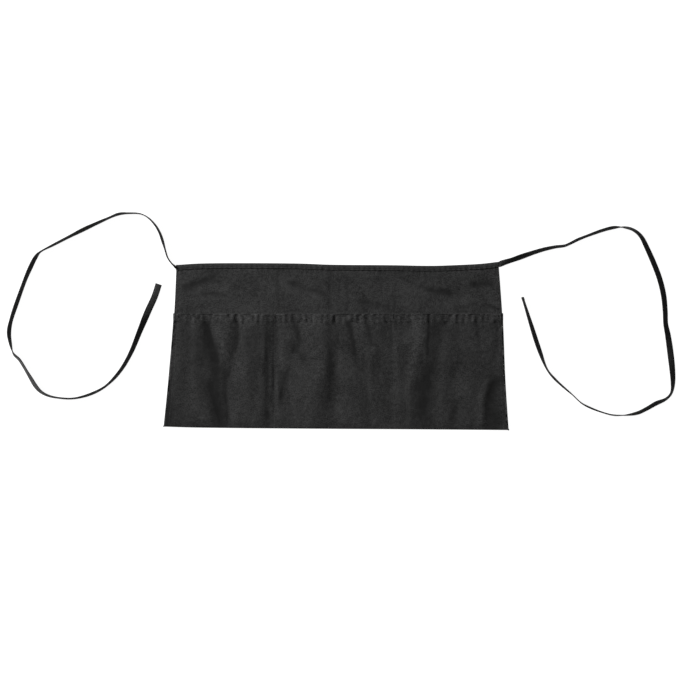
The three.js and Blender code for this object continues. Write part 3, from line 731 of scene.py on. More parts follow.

# %% [markdown]
# ## Painted shade and highlights
#
# Shape and light alone would leave the broad hollows too pale here, so painted shade is charted
# over the cloth as strokes, with a few painted highlights on crests: a line with a width and a
# tone, below 0 where the cloth is drawn blacker and above 0 where it is drawn paler. Cloudy noise
# bends the strokes and makes them uneven.

# %% Strokes of painted shade and highlight
Stroke = namedtuple("Stroke", "name line tone width")  # a line in shares, a share, millimetres
POCKET_SHADING_STROKES = (
    Stroke(
        "long hollow", ((0.1, 0.93), (0.11, 0.75), (0.135, 0.55), (0.145, 0.3), (0.165, 0.03)),
        -0.85, 10,
    ),
    Stroke("its edge", ((0.099, 0.9), (0.118, 0.78), (0.136, 0.69), (0.143, 0.58)), -0.7, 3.5),
    Stroke("left arm", ((0.13, 0.37), (0.147, 0.236), (0.165, 0.06)), -0.6, 4),
    Stroke("foot of the V", ((0.18, 0.52), (0.178, 0.44)), -0.5, 4),
    Stroke("beside it", ((0.08, 0.75), (0.095, 0.5), (0.11, 0.35)), -0.45, 18),
    Stroke("left side", ((0.03, 0.9), (0.03, 0.1)), -0.2, 18),
    Stroke("left foot", ((0.02, 0.14), (0.12, 0.12)), -0.25, 20),
    Stroke("right field", ((0.86, 0.85), (0.88, 0.2)), -0.12, 30),
    Stroke("second line", ((0.166, 0.5), (0.17, 0.3), (0.19, 0.05)), -0.5, 4),
    Stroke("short hollow", ((0.192, 0.93), (0.193, 0.8), (0.182, 0.6)), -0.4, 4),
    Stroke("soft hollow", ((0.25, 0.85), (0.257, 0.35)), -0.3, 9),
    Stroke("beside the divider", ((0.29, 0.8), (0.2925, 0.5), (0.297, 0.1)), -0.5, 3),
    Stroke("its foot", ((0.3, 0.14), (0.303, 0)), -0.65, 4.5),
    Stroke("divider", ((0.3085, 0.95), (0.3085, 0.74)), -0.95, 2.6),
    Stroke("lower divider", ((0.309, 0.7), (0.311, 0.35)), -0.6, 2.4),
    Stroke("slant", ((0.36, 0.74), (0.39, 0.66), (0.42, 0.58)), -0.55, 7),
    Stroke("under the slant", ((0.355, 0.5), (0.335, 0.25)), -0.5, 5),
    Stroke("leaning hollow", ((0.366, 0.94), (0.386, 0.775)), -0.7, 5),
    Stroke("middle hollow", ((0.474, 0.72), (0.479, 0.467), (0.472, 0.2)), -0.35, 10),
    Stroke("hem hollow", ((0.53, 0.93), (0.545, 0.75), (0.55, 0.65)), -0.75, 4),
    Stroke("faint hollow", ((0.592, 0.93), (0.6, 0.75)), -0.55, 4),
    Stroke("sharp line", ((0.773, 1), (0.772, 0.8), (0.77, 0.66)), -0.9, 2.4),
    Stroke("right of it", ((0.79, 0.9), (0.785, 0.6)), -0.35, 9),
    Stroke("right hollow", ((0.771, 0.52), (0.764, 0.4)), -0.7, 10),
    Stroke("its wide end", ((0.757, 0.34), (0.752, 0.14)), -0.9, 18),
    Stroke("mouth slant", ((0.838, 0.98), (0.828, 0.91)), -0.7, 3),
    Stroke("low stripe", ((0.85, 0.25), (0.838, 0)), -0.45, 7),
    Stroke("right corner", ((0.968, 0.42), (0.955, 0.3), (0.955, 0)), -0.85, 13),
    Stroke("left corner", ((0, 0.35), (0.008, 0)), -0.6, 9),
    Stroke("wide rise", ((0.41, 0.92), (0.44, 0.6)), 0.35, 18),
    Stroke("fifth crest", ((0.562, 0.95), (0.57, 0.7)), 0.3, 8),
    Stroke("tall crest", ((0.745, 0.95), (0.735, 0.75), (0.715, 0.5)), 0.3, 7),
    Stroke("tongue", ((0.13, 0.9), (0.155, 0.7)), 0.3, 8),
)
BODY_SHADING_STROKES = (
    Stroke("left diagonal", ((0.03, 0.852), (0.07, 0.885), (0.115, 0.92)), -0.75, 6),
    Stroke("its heart", ((0.048, 0.864), (0.072, 0.888), (0.1, 0.905)), -0.55, 2.6),
    Stroke("its end", ((0.12, 0.925), (0.143, 0.965)), -0.5, 4),
    Stroke("left line", ((0.083, 0.818), (0.153, 0.805)), -0.6, 3),
    Stroke("first spot", ((0.185, 0.85), (0.195, 0.85)), -0.5, 5),
    Stroke("second spot", ((0.245, 0.87), (0.255, 0.87)), -0.5, 5),
    Stroke("middle wedge", ((0.35, 0.88), (0.458, 0.818)), -0.7, 5),
    Stroke("small slant", ((0.694, 0.923), (0.722, 0.903)), -0.65, 2.5),
    Stroke("right wedge", ((0.785, 0.85), (0.812, 0.83), (0.838, 0.828)), -1.05, 5.5),
    Stroke("wedge head", ((0.752, 0.872), (0.785, 0.855)), -0.5, 3),
    Stroke("wedge tail", ((0.84, 0.826), (0.872, 0.82)), -0.6, 3),
    Stroke("right ellipse", ((0.912, 0.876), (0.972, 0.876)), -1.0, 5.5),
    Stroke("right side", ((0.953, 0.748), (0.99, 0.723)), -0.9, 3),
    Stroke("right mouth", ((0.857, 0.704), (0.894, 0.704)), -0.9, 3),
    Stroke("over the pocket", ((0.573, 0.773), (0.65, 0.735)), -0.5, 6),
    Stroke("first upright", ((0.316, 0.965), (0.318, 0.7)), -0.5, 2.5),
    Stroke("second upright", ((0.476, 0.96), (0.476, 0.72)), -0.4, 3),
    Stroke("third upright", ((0.529, 0.94), (0.529, 0.72)), -0.45, 3),
    Stroke("fourth upright", ((0.68, 0.95), (0.67, 0.7)), -0.5, 2.5),
)
STROKE_BEND, STROKE_UNEVEN = 1.6 * MM, 0.35


def painted_shading_tone(strokes, x, y, to_metres):
    """The painted shade and painted highlights that the strokes give each point, shade below 0."""
    uneven = 1 + STROKE_UNEVEN * cloudy(x, y, 9 * MM, 33)
    bent_x = x + STROKE_BEND * cloudy(x, y, 12 * MM, 31)
    bent_y = y + STROKE_BEND * cloudy(x, y, 12 * MM, 32)
    tone = np.zeros_like(x)
    for stroke in strokes:
        near = beside_line(stroke.line, bent_x, bent_y, to_metres)[0]
        tone += stroke.tone * bell(near, stroke.width * MM)
    return tone * uneven


print(len(POCKET_SHADING_STROKES) + len(BODY_SHADING_STROKES), "strokes of tone are charted")

# %% [markdown]
# ## Building the pocket
#
# The pocket's cloth turns over at all four edges: under the apron at its foot, round both sides,
# and back behind its own mouth as a hem. Each turn is a half circle that ends the grid, so the
# edges are soft rolls of cloth and not cut plates.

# %% Pocket cloth
ROLL_STEPS = 5
DRAWN_CLOTH = 0.9 * MM  # how thick the cloth is drawn, a little under the solids' layer
SEAMS = ("left seam", "first divider", "second divider", "right seam")
RUBBED = 1.5 * MM  # how far in from an edge the cloth is rubbed pale


def body_raise(across, up):
    """1 where the body rides on a side hem or on the waistband's back, and 0 where it lies flat."""
    ease_off, margin = 24 * MM, 1 * MM
    side_raised = (SIDE_HEM + margin) / WAIST_LENGTH
    side_flat = side_raised + ease_off / WAIST_LENGTH
    upper = APRON_HEIGHT - POCKET_HEIGHT - WAIST_SWAY
    band_raised = 1 - ((TAPE_WIDTH + margin) / upper) * (1 - MOUTH_SHARE)
    band_flat = band_raised - (ease_off / upper) * (1 - MOUTH_SHARE)
    from_side = np.minimum(across, 1 - across)
    side = np.clip((side_flat - from_side) / (side_flat - side_raised), 0, 1)
    band = np.clip((up - band_flat) / (band_raised - band_flat), 0, 1)
    return eased(np.maximum(side, band))


def over_row(z, reach=6):
    """How far each height lies above the mean of its neighbours along the row."""
    padded = np.pad(z, ((0, 0), (reach, reach)), mode="edge")
    return z - sum(padded[:, k : k + z.shape[1]] for k in range(2 * reach + 1)) / (2 * reach + 1)


def pocket_surface(ups):
    """The pocket's face between its rolled edges as grid points, with its wear and painted shading."""
    profile = [fold_profile(up, COLUMNS) for up in ups]
    across = np.array([row[0] for row in profile])
    folded = np.array([row[1] for row in profile])
    up = np.repeat(np.array(ups)[:, None], len(COLUMNS), axis=1)
    on_apron = up * MOUTH_SHARE
    left = left_edge(on_apron) - POCKET_EAR * up
    right = right_edge(on_apron) + POCKET_EAR * up
    x, y = lerp(left, right, across), level_at(across, on_apron)

    def to_metres(share, height):
        on = height * MOUTH_SHARE
        return lerp(left_edge(on), right_edge(on), share), float(level_at(share, on))

    seams = [column_of(name) for name in SEAMS]
    from_seam = np.min([np.abs(x - x[:, [k]]) for k in seams], axis=0)
    unpressed = eased(up / PRESSED_FOOT)
    free = eased(from_seam / (7 * MM)) * unpressed
    small = crease_lift(POCKET_CREASES, x, y, to_metres) * free
    small += 0.45 * MM * cloudy(x, y / 1.6, 17 * MM, 5) * free
    small += 0.22 * MM * cloudy(x, y, 6.5 * MM, 6) * unpressed
    small += ripple_lift(from_seam, y, 7 * MM, 0.32 * MM, 7) * eased(from_seam / (2 * MM))
    small += gather_lift(x, y, left, right) * (0.35 + 0.65 * free)
    beside = bell(x - x[:, [seams[2]]] - 3 * MM, 3 * MM)  # short puckers along the second divider
    small += 0.35 * MM * np.sin(y / (7 * MM) * 2 * math.pi) * beside * unpressed
    on_hem = eased((up - 1 + (POCKET_HEM + 3 * MM) / POCKET_HEIGHT) * POCKET_HEIGHT / (4 * MM))
    over_body = LAYER * body_raise(across, on_apron) + LAYER + CLOTH + LAYER * on_hem
    z = over_body + np.maximum(folded + small, 0)
    edge = bell(np.minimum(across, 1 - across) * HEM_LENGTH, RUBBED)
    mouth, foot = bell((1 - up) * POCKET_HEIGHT, 2 * MM), bell(up * POCKET_HEIGHT, 2 * MM)
    # Rubbed edges and foot paler, the mouth's roll a little darker, and a painted highlight on crests.
    wear_and_shading = 0.1 * np.maximum(edge, foot) - 0.04 * mouth + 0.1 * np.clip(over_row(z) / (2 * MM), 0, 1)
    # Painted shade in the hollows and painted highlights on some crests, from the charted strokes.
    wear_and_shading += painted_shading_tone(POCKET_SHADING_STROKES, x, y, to_metres)
    wear_and_shading += on_hem * (0.14 + 0.5 * cloudy(x, y / 1.3, 4.5 * MM, 41))
    return np.stack([x, y, z], axis=-1), wear_and_shading


def roll_edge(points, radius, inward, steps=ROLL_STEPS, flap=0.0, flap_steps=0):
    """Adds rows after the last one that turn down and back under in a half circle, then run on flat.

    The last row's points move inward by the roll's radius, so that the roll ends at the old edge.
    inward is the direction away from the edge, in the plane of the table.
    """
    inward = np.array([*inward, 0.0])
    last = points[-1] + radius[:, None] * inward
    kept = np.concatenate([points[:-1], last[None]])
    rolled = []
    for step in range(1, steps + 1):
        angle = math.pi * step / steps
        out = last - radius[:, None] * math.sin(angle) * inward
        out[:, 2] -= radius * (1 - math.cos(angle))
        rolled.append(out)
    for step in range(1, flap_steps + 1):
        rolled.append(rolled[steps - 1] + inward * flap * step / flap_steps)
    return np.concatenate([kept, np.array(rolled)])


def turned(points):
    """The grid with its rows and columns changed over."""
    return np.swapaxes(points, 0, 1)


def rolled_sides(points, radius_of, **flap):
    """The grid with its two side edges rolled under, by radii that radius_of reads off the grid."""
    for way in ((-1, 0), (1, 0)):
        points = turned(roll_edge(turned(points), radius_of(points), way, **flap))[:, ::-1]
    return points


def pocket_rows():
    """Shares up the pocket: even rows, closer together at the foot's press and on the hem."""
    rows = np.linspace(0, 1, round(POCKET_HEIGHT / ROW_STEP) + 1)
    close = 1 - np.arange(1, 15) * 1 * MM / POCKET_HEIGHT
    return np.unique(np.round(np.concatenate([rows, close]), 5))


def pocket_cloth():
    """The pocket as a piece, its grid between the rolled edges, and the grid's shares up."""
    ups = pocket_rows()
    face, wear_and_shading = pocket_surface(ups)
    mouth_radius = np.full(face.shape[1], LAYER - GAP / 2)
    points = roll_edge(face, mouth_radius, (0, -1), flap=POCKET_HEM - LAYER, flap_steps=3)
    points = roll_edge(points[::-1], points[0, :, 2] / 2, (0, 1))[::-1]
    points = rolled_sides(points, lambda grid: np.maximum(grid[:, -1, 2] / 2, 0.1 * MM))
    rolled = points.shape[0] - face.shape[0]
    pad = ((ROLL_STEPS, rolled - ROLL_STEPS), (ROLL_STEPS, ROLL_STEPS))
    wear_and_shading = np.pad(wear_and_shading, pad, mode="edge")
    piece = sheet_piece("pocket_cloth", points, measured(points), wear_and_shading, DRAWN_CLOTH, PANEL_TWILL)
    inside = points[ROLL_STEPS : ROLL_STEPS + len(ups), ROLL_STEPS:-ROLL_STEPS]
    return piece, inside, ups


pocket_piece, pocket_grid, pocket_ups = pocket_cloth()
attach(pocket_piece, "root")
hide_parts("pocket_panel", "pocket_hem")

# %% [markdown]
# ## The body panel
#
# The body lies on the table. Its sides are turned back under as hems, which lift it by one layer
# there, and it is hidden below the pocket's mouth, so it needs a fine grid only above it. Long
# low wrinkles from folding cross the part that shows.

# %% The body's wrinkles
Wrinkle = namedtuple("Wrinkle", "name start end height width")
WRINKLES = (
    Wrinkle("left corner", (0.02, 0.87), (0.125, 0.952), 1, 0.055),
    Wrinkle("left side", (0.03, 0.79), (0.085, 0.73), 0.5, 0.05),
    Wrinkle("left arc", (0.215, 0.825), (0.28, 0.88), 0.4, 0.05),
    Wrinkle("under the band", (0.305, 0.94), (0.352, 0.9), 0.45, 0.035),
    Wrinkle("middle arc", (0.33, 0.9), (0.465, 0.815), 0.8, 0.055),
    Wrinkle("over the pocket", (0.55, 0.79), (0.65, 0.75), 0.5, 0.045),
    Wrinkle("small slant", (0.684, 0.925), (0.73, 0.89), 0.4, 0.035),
    Wrinkle("right wedge", (0.755, 0.88), (0.875, 0.843), 0.85, 0.05),
    Wrinkle("right mouth", (0.83, 0.735), (0.91, 0.765), 0.6, 0.045),
    Wrinkle("right corner", (0.89, 0.905), (0.972, 0.872), 0.8, 0.05),
    Wrinkle("right side", (0.935, 0.775), (0.975, 0.74), 0.6, 0.04),
)


def wrinkle_lift(across, up):
    """The long wrinkles of the body, which fade out at the pocket, the hems and the waistband."""
    stretch = HEM_LENGTH / APRON_HEIGHT
    lift = np.zeros_like(across)
    for wrinkle in WRINKLES:
        rise = wrinkle.end[1] - wrinkle.start[1]
        run = np.array([(wrinkle.end[0] - wrinkle.start[0]) * stretch, rise])
        length = np.hypot(*run)
        way = (across - wrinkle.start[0]) * stretch, up - wrinkle.start[1]
        along = (way[0] * run[0] + way[1] * run[1]) / length**2
        aside = (way[0] * run[1] - way[1] * run[0]) / (length * wrinkle.width)
        end = eased(np.minimum(along + 0.15, 1.15 - along) / 0.4)
        lift = np.maximum(lift, wrinkle.height * end * np.exp(-4 * aside * aside))
    fade = eased((up - MOUTH_SHARE) / (1 - MOUTH_SHARE) / 0.1) * (1 - body_raise(across, up))
    return WRINKLE * lift * fade


# %% Body cloth
HIDDEN_ROWS = 14
HIDDEN_INSET = 1.3 * MM  # how far in the body's edges lie at the foot, under the pocket's rolls
BODY_PALER = 0.22
SHOWN_ROW = 1.6 * MM
BODY_STEP = 2.2 * MM


def body_surface(across, up):
    """The body's outer face as a grid of points, and its wear and painted shading."""
    level = level_at(across, up, LAYER, BAND_FOLD)
    hidden = HIDDEN_INSET * np.maximum(0, 1 - up / MOUTH_SHARE)
    left, right = left_edge(up) + hidden, right_edge(up) - hidden
    x = lerp(left, right, across)

    def to_metres(share, height):
        return lerp(left_edge(height), right_edge(height), share), float(level_at(share, height))

    shown = eased((up - MOUTH_SHARE) / 0.02)
    free = shown * (1 - body_raise(across, up))
    small = crease_lift(BODY_CREASES, x, level, to_metres) * free
    small += (0.5 * MM * cloudy(x, level, 23 * MM, 21) + 0.2 * MM * cloudy(x, level, 8 * MM, 22)) * free
    from_band = waist_edge(across) - TAPE_WIDTH - level
    small += ripple_lift(np.maximum(from_band, 0), x, 6 * MM, 0.3 * MM, 23) * shown
    from_side = np.minimum(x - left, right - x) - SIDE_HEM
    small += ripple_lift(from_side, level, 5 * MM, 0.25 * MM, 24) * shown
    lifted = np.maximum(wrinkle_lift(across, up) + small, -0.1 * MM)
    z = CLOTH + LAYER * body_raise(across, up) + lifted
    edge = bell(np.minimum(across, 1 - across) * WAIST_LENGTH, RUBBED)
    # Paler overall and at the rubbed edges, with painted shade from the body's strokes where it shows.
    wear_and_shading = BODY_PALER + 0.1 * edge + painted_shading_tone(BODY_SHADING_STROKES, x, level, to_metres) * shown
    return np.stack([x, level, z], axis=-1), wear_and_shading


def body_cloth():
    """The body as a piece, its grid between the rolled sides, and its shares across and up."""
    columns = np.linspace(0, 1, round(WAIST_LENGTH / BODY_STEP) + 1)
    hem_columns = np.arange(1, 8) * SIDE_HEM / 6 / WAIST_LENGTH
    columns = np.unique(np.round(np.concatenate([columns, hem_columns, 1 - hem_columns]), 5))
    shown = round((1 - MOUTH_SHARE) * APRON_HEIGHT / SHOWN_ROW)
    hidden = np.linspace(0, MOUTH_SHARE - 0.03, HIDDEN_ROWS)
    rows = np.concatenate([hidden, np.linspace(MOUTH_SHARE - 0.02, 1, shown)])
    face, wear_and_shading = body_surface(*np.meshgrid(columns, rows))
    radius = np.full(len(face), LAYER - GAP / 2)
    points = rolled_sides(face, lambda grid: radius, flap=SIDE_HEM - LAYER, flap_steps=3)
    pad = (points.shape[1] - face.shape[1]) // 2
    wear_and_shading = np.pad(wear_and_shading, ((0, 0), (pad, pad)), mode="edge")
    piece = sheet_piece("body_cloth", points, measured(points), wear_and_shading, DRAWN_CLOTH, PANEL_TWILL)
    return piece, points[:, pad:-pad], columns, rows


body_piece, body_grid, body_columns, body_rows = body_cloth()
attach(body_piece, "root")
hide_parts("body_panel", "side_hem_left", "side_hem_right")

# %% [markdown]
# ## Tape
#
# The waistband and the ties are one folded tape. On the waist edge it is open and takes the cloth
# between its two leaves. Past the corners it closes on itself and is stitched along its open edge.
# Both are one section carried along a line, ring by ring. Blender's curve bevel would do that too,
# but the rings let the tape roll from flat to edge-on and grow thicker at its hemmed end.


# %% Swept sections
def swept_mesh(name, rings, wear_and_shading):
    """A closed body through rings of points, rings by points of the section, with both ends capped."""
    count, around = rings.shape[:2]
    corner = np.arange(count * around).reshape(count, around)
    nxt = np.roll(corner, -1, axis=1)
    faces = np.stack([corner[:-1], corner[1:], nxt[1:], nxt[:-1]], axis=-1).reshape(-1, 4).tolist()
    faces += [corner[0].tolist(), corner[-1][::-1].tolist()]
    mesh = bpy.data.meshes.new(name)
    mesh.from_pydata(rings.reshape(-1, 3).tolist(), [], faces)
    cloth = np.stack(np.meshgrid(walked_along(rings[0]), walked_along(rings.mean(axis=1))), axis=-1)
    carry(mesh, cloth[..., ::-1], wear_and_shading)
    return mesh


# %% Waistband
BAND_RING = 2 * MM
BAND_STITCH = 1.6 * MM  # from the tape's edge to its row of stitches
BAND_CROWN = 0.25 * MM
OUTER, INNER = LAYER + CLOTH / 2, LAYER - CLOTH / 2


def band_section():
    """The folded tape's section as pairs: how far below the fold's centre, and height."""
    flap, top = TAPE_WIDTH - OUTER, 2 * OUTER
    turn = [(-OUTER * math.sin(a), OUTER - OUTER * math.cos(a)) for a in np.linspace(0, math.pi, 9)]
    hollow = [(-INNER * math.sin(a), OUTER + INNER * math.cos(a)) for a in np.linspace(0, math.pi, 7)]
    back = [(flap, 0), (flap * 0.6, 0), (flap * 0.25, 0)]
    front = [(flap * 0.3, top + BAND_CROWN), (flap * 0.55, top + BAND_CROWN), (flap - 2.3 * MM, top)]
    groove = [(flap - BAND_STITCH, top - 0.3 * MM), (flap - 0.9 * MM, top - 0.02 * MM)]
    lip = [(flap - 0.25 * MM, top - 0.1 * MM), (flap, top - 0.45 * MM)]
    inner_front = [(flap - 0.1 * MM, OUTER + INNER + 0.1 * MM), (flap * 0.5, OUTER + INNER)]
    inner_back = [(flap * 0.5, OUTER - INNER), (flap - 0.1 * MM, OUTER - INNER)]
    section = back + turn + front + groove + lip + inner_front + hollow + inner_back
    return np.array(section), len(back + turn + front)


def waist_tape():
    """The waistband as a piece, and the line of its row of stitches."""
    section, stitch = band_section()
    across = np.linspace(0, 1, round(WAIST_LENGTH / BAND_RING) + 1)
    left, right = float(left_edge(BAND_FOOT)), float(right_edge(BAND_FOOT))
    x = lerp(left, right, across)
    centre = waist_edge(across) - BAND_FOLD
    below, height = section[:, 0][None], section[:, 1][None]
    on_front = eased(height / OUTER - 1) * eased(below / (2 * MM))
    wave = ripple_lift(0, x, 1, 1, 31)[:, None]
    fine = cloudy(x, x * 0, 5 * MM, 32)[:, None]
    z = height + on_front * (0.22 * MM * wave + 0.18 * MM * fine)
    y = centre[:, None] - below + on_front * 0.25 * MM * (wave * 0.6 + fine)
    rings = np.stack([np.broadcast_to(x[:, None], z.shape), y, z], axis=-1)
    lip, top = bell(below - (TAPE_WIDTH - OUTER), 0.9 * MM), bell(below + OUTER, 1.2 * MM)
    wear_and_shading = np.broadcast_to(0.6 * np.maximum(lip, top), z.shape)
    piece = new_piece("waist_tape", swept_mesh("waist_tape", rings, wear_and_shading), TAPE_TWILL)
    print("waist_tape has", len(piece.data.polygons), "faces")
    return piece, rings[:, stitch]


band_piece, band_row = waist_tape()
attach(band_piece, "root")
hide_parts("waistband")

# %% [markdown]
# ## Ties
#
# Each tie is about a metre of limp tape, dropped on the table in an open loop. Its route is the
# solid's, point by point, and a few nudges bring the drawn line to where the real tape lies, some
# millimetres away. Each step also holds how far the tape has rolled about its line: it lies flat
# in places and stands on its edge in others, and its lowest edge always touches the table.

# %% Routes
Step = namedtuple("Step", "x y roll")  # millimetres from the waistband's end, and degrees
LEFT_ROUTE = [Step(*row) for row in (
    (0, 0, 40), (-5.9, 4.1, 70), (-11.2, 9.1, 84), (-17.8, 19.6, 88),
    (-22.4, 35.6, 86), (-26.3, 49.8, 74), (-30.6, 63.1, 76), (-38.4, 77.4, 84),
    (-51.4, 91.3, 88), (-65.1, 97.9, 90), (-84.7, 99.1, 92), (-102.5, 98.1, 104),
    (-120.3, 91.5, 97), (-145.2, 80.4, 110), (-163.6, 71.6, 115), (-191.5, 57.3, 104),
    (-220.7, 42.2, 98), (-242.3, 31.5, 93), (-250.8, 23.1, 112), (-258.3, 9.6, 118),
    (-269.8, -16.6, 112), (-284.4, -57, 114), (-295.1, -89.4, 110), (-299.6, -112.1, 118),
    (-297.3, -133.5, 98), (-292.1, -151.3, 70), (-280.5, -163.8, 65), (-264.5, -190.1, 55),
    (-249.4, -213.6, 51), (-234.2, -224.7, 64), (-212.9, -229.7, 75), (-182.6, -230.4, 81),
    (-152.4, -221.7, 73), (-125.7, -206.2, 77), (-101.6, -180.3, 70), (-82.9, -148.3, 58),
    (-67.8, -110.9, 40), (-53.6, -75.1, 12), (-42, -50, 4), (-34.5, -28.5, 0),
)]
RIGHT_ROUTE = [Step(*row) for row in (
    (0, 0, 0), (11.6, 4.4, 28), (24, 9.4, 44), (41.8, 16.6, 42),
    (61.6, 23.5, 54), (81.5, 29.4, 64), (101.5, 33.5, 71), (116.6, 35.1, 74),
    (126.4, 38.8, 74), (141.5, 46.3, 69), (164.7, 55.4, 70), (187.8, 63.5, 68),
    (205.6, 67.8, 70), (225.2, 68.7, 107), (241.2, 64.8, 118), (255.4, 53.2, 130),
    (267, 32.4, 144), (280.2, 3, 152), (290.1, -23.7, 152), (296.9, -52.2, 152),
    (299.6, -80.6, 143), (300.5, -102.9, 142), (304.7, -123.4, 158), (309.2, -152.7, 168),
    (312.4, -182.1, 158), (313.3, -207, 142), (309.7, -226.6, 120), (299, -238.7, 118),
    (281.2, -247.1, 134), (262.6, -257.4, 126), (245.6, -264.3, 119), (219.8, -266.6, 90),
    (194.9, -263.3, 82), (153.1, -246.2, 80), (131.5, -226.8, 84), (104.1, -202.6, 70),
    (87.2, -182.6, 76), (72.8, -146.9, 48), (59.1, -105.7, 52), (43.6, -57.5, 74),
)]
Nudge = namedtuple("Nudge", "step across up")  # a step of the route, and millimetres
LEFT_NUDGES = [Nudge(*row) for row in (
    (0, 0, 0), (1, 2.7, -0.6), (5, 2.8, -2), (9, 1.4, -2.4), (12, 1.8, -3.4), (16, 1.8, -3),
    (18, 3.1, -3.6), (22, 3.4, -3), (24, 4.2, -2.1), (28, 3.2, -0.3), (31, 1.4, -1.8),
    (33, 2.3, -3.5), (37, 3.6, -3.3), (39, 3.9, -0.7),
)]
RIGHT_NUDGES = [Nudge(*row) for row in (
    (0, 0, 0), (1, -2.2, -1), (3, -1.7, -2.9), (8, -1.9, -2.5), (12, -1.9, -2.7), (14, -2.8, -4.3),
    (16, -4.6, -4), (21, -5.2, -2.7), (25, -5.2, -2.3), (28, -3.1, 0), (30, -2.4, -0.3),
    (32, -1.9, -2.7), (34, -3.3, -3.9), (37, -2.8, -2.8), (39, -2.9, -0.8),
)]
TIE_RING = 2 * MM
END_HEM = 7 * MM
START_GAP = 0.05 * MM  # between the waistband's end and the tie


def read_along(at, walked, values):
    """Reads rows of values, given at the distances walked, at other distances."""
    return np.stack([np.interp(at, walked, column) for column in values.T], axis=-1)


def route_line(route, nudges, start):
    """The route as even steps: its points, the share along the tie and the roll at each."""
    knots = np.array([(step.x * MM, step.y * MM) for step in route]) + start
    at, across, up = zip(*nudges)
    order = np.arange(len(route))
    knots += np.column_stack([smooth_line(at, across, order), smooth_line(at, up, order)]) * MM
    roll = np.radians([step.roll for step in route])
    knot = np.concatenate([[0], np.cumsum(np.linalg.norm(np.diff(knots, axis=0), axis=1) ** 0.5)])
    fine = np.linspace(0, knot[-1], 4000)
    line = np.stack([smooth_line(knot, knots[:, k], fine) for k in (0, 1)], axis=-1)
    walked = walked_along(line)
    even = np.linspace(0, walked[-1], round(walked[-1] / TIE_RING) + 1)
    place = np.interp(even, walked, fine)
    return read_along(even, walked, line), even, smooth_line(knot, roll, place)


def tape_section():
    """The closed tape's section as pairs, across the tape and through it, both as shares.

    Returns it with the places in it of the stitches' groove on the front and on the back.
    """
    bend = np.linspace(-math.pi / 2, math.pi / 2, 7)
    fold = [(-0.5 + 0.08 * (1 - math.cos(a)), 0.5 * math.sin(a)) for a in bend]
    face = [(-0.2, 0.54), (0.1, 0.53), (0.26, 0.5)]
    groove = [(0.33, 0.36), (0.39, 0.47)]
    lip = [(0.47, 0.46), (0.5, 0.36), (0.495, 0.1), (0.45, 0.0)]
    front = face + groove + lip
    back = [(aside, -thick) for aside, thick in front[-2::-1]]
    section = fold + front + back
    return np.array(section), len(fold + face), len(section) - len(face) - 1


def tie_piece(name, route, nudges, across, heading, pinch, seed):
    """A tie as a swept tape, crumpled to the share pinch of its width where it starts.

    Returns the piece, the line of its rings' centres, its length and its two stitch rows.
    """
    band_end = float(lerp(left_edge(BAND_FOOT), right_edge(BAND_FOOT), across))
    start = np.array([band_end + heading * START_GAP, float(waist_edge(across)) - TAPE_WIDTH / 2])
    points, walked, roll = route_line(route, nudges, start)
    way = np.gradient(points, axis=0)
    way[0] = (heading, 0)
    way /= np.linalg.norm(way, axis=1, keepdims=True)
    settled = eased(walked / (2 * TAPE_WIDTH))
    roll = roll + np.radians(4) * cloudy(walked, walked * 0, 24 * MM, seed) * settled
    hemmed = eased((walked - walked[-1] + END_HEM + 1 * MM) / (1 * MM))
    thick = DRAWN_THICKNESS * (1 + 0.4 * hemmed + 0.4 * eased(1 - walked / (8 * MM)))
    broad = DRAWN_TAPE * lerp(pinch, 1, eased(walked / (4 * TAPE_WIDTH)))
    on_table = (broad * np.abs(np.sin(roll)) + thick * np.abs(np.cos(roll))) / 2
    height = on_table + (1 - settled) * (BAND_FOLD - TIE_THICKNESS / 2)
    centre = np.column_stack([points, height])
    level = np.column_stack([-way[:, 1], way[:, 0], np.zeros(len(way))])
    upright = np.array([0, 0, 1.0])
    wide = level * np.cos(roll)[:, None] + upright * np.sin(roll)[:, None]
    face = upright * np.cos(roll)[:, None] - level * np.sin(roll)[:, None]
    section, stitch, back_stitch = tape_section()
    fuller = 1 + 0.03 * cloudy(walked, walked * 0, 30 * MM, seed + 1)
    aside = section[:, 0][None] * (broad * fuller)[:, None]
    through = section[:, 1][None] * thick[:, None]
    rings = centre[:, None] + wide[:, None] * aside[..., None] + face[:, None] * through[..., None]
    rings[..., 2] = np.maximum(rings[..., 2], 0)
    wear_and_shading = np.broadcast_to(0.6 * bell(np.abs(section[:, 0]) - 0.5, 0.08), rings.shape[:2])
    piece = new_piece(name, swept_mesh(name, rings, wear_and_shading), TAPE_TWILL)
    print(f"{name} is {walked[-1]:.3f} m long in {len(rings)} rings")
    rows = [(rings[:, stitch], face), (rings[:, back_stitch], -face)]
    return piece, centre, walked[-1], rows


left_tie, left_line, left_length, left_rows = tie_piece(
    "left_tie", LEFT_ROUTE, LEFT_NUDGES, across=0, heading=-1, pinch=0.4, seed=41
)
right_tie, right_line, right_length, right_rows = tie_piece(
    "right_tie", RIGHT_ROUTE, RIGHT_NUDGES, across=1, heading=1, pinch=0.9, seed=51
)
for piece, node in ((left_tie, "tie_left"), (right_tie, "tie_right")):
    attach(piece, "root")
    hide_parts(node)

# %% [markdown]
# ## Stitches
#
# A row of topstitching is the same short thread, again and again along a line. That is work for
# Geometry Nodes: the line is resampled at the stitch length, one small rounded thread is put on
# every point and turned along the line, and the copies are made real at the end. The nodes take
# a line with an attribute that says which way is up from the cloth.

# %% Stitch nodes
STITCH_PITCH = 3.1 * MM
STITCH_LENGTH = 2.5 * MM
THREAD_WIDTH = 0.5 * MM
THREAD_SUNK = 0.15 * MM  # how deep a thread lies in the cloth


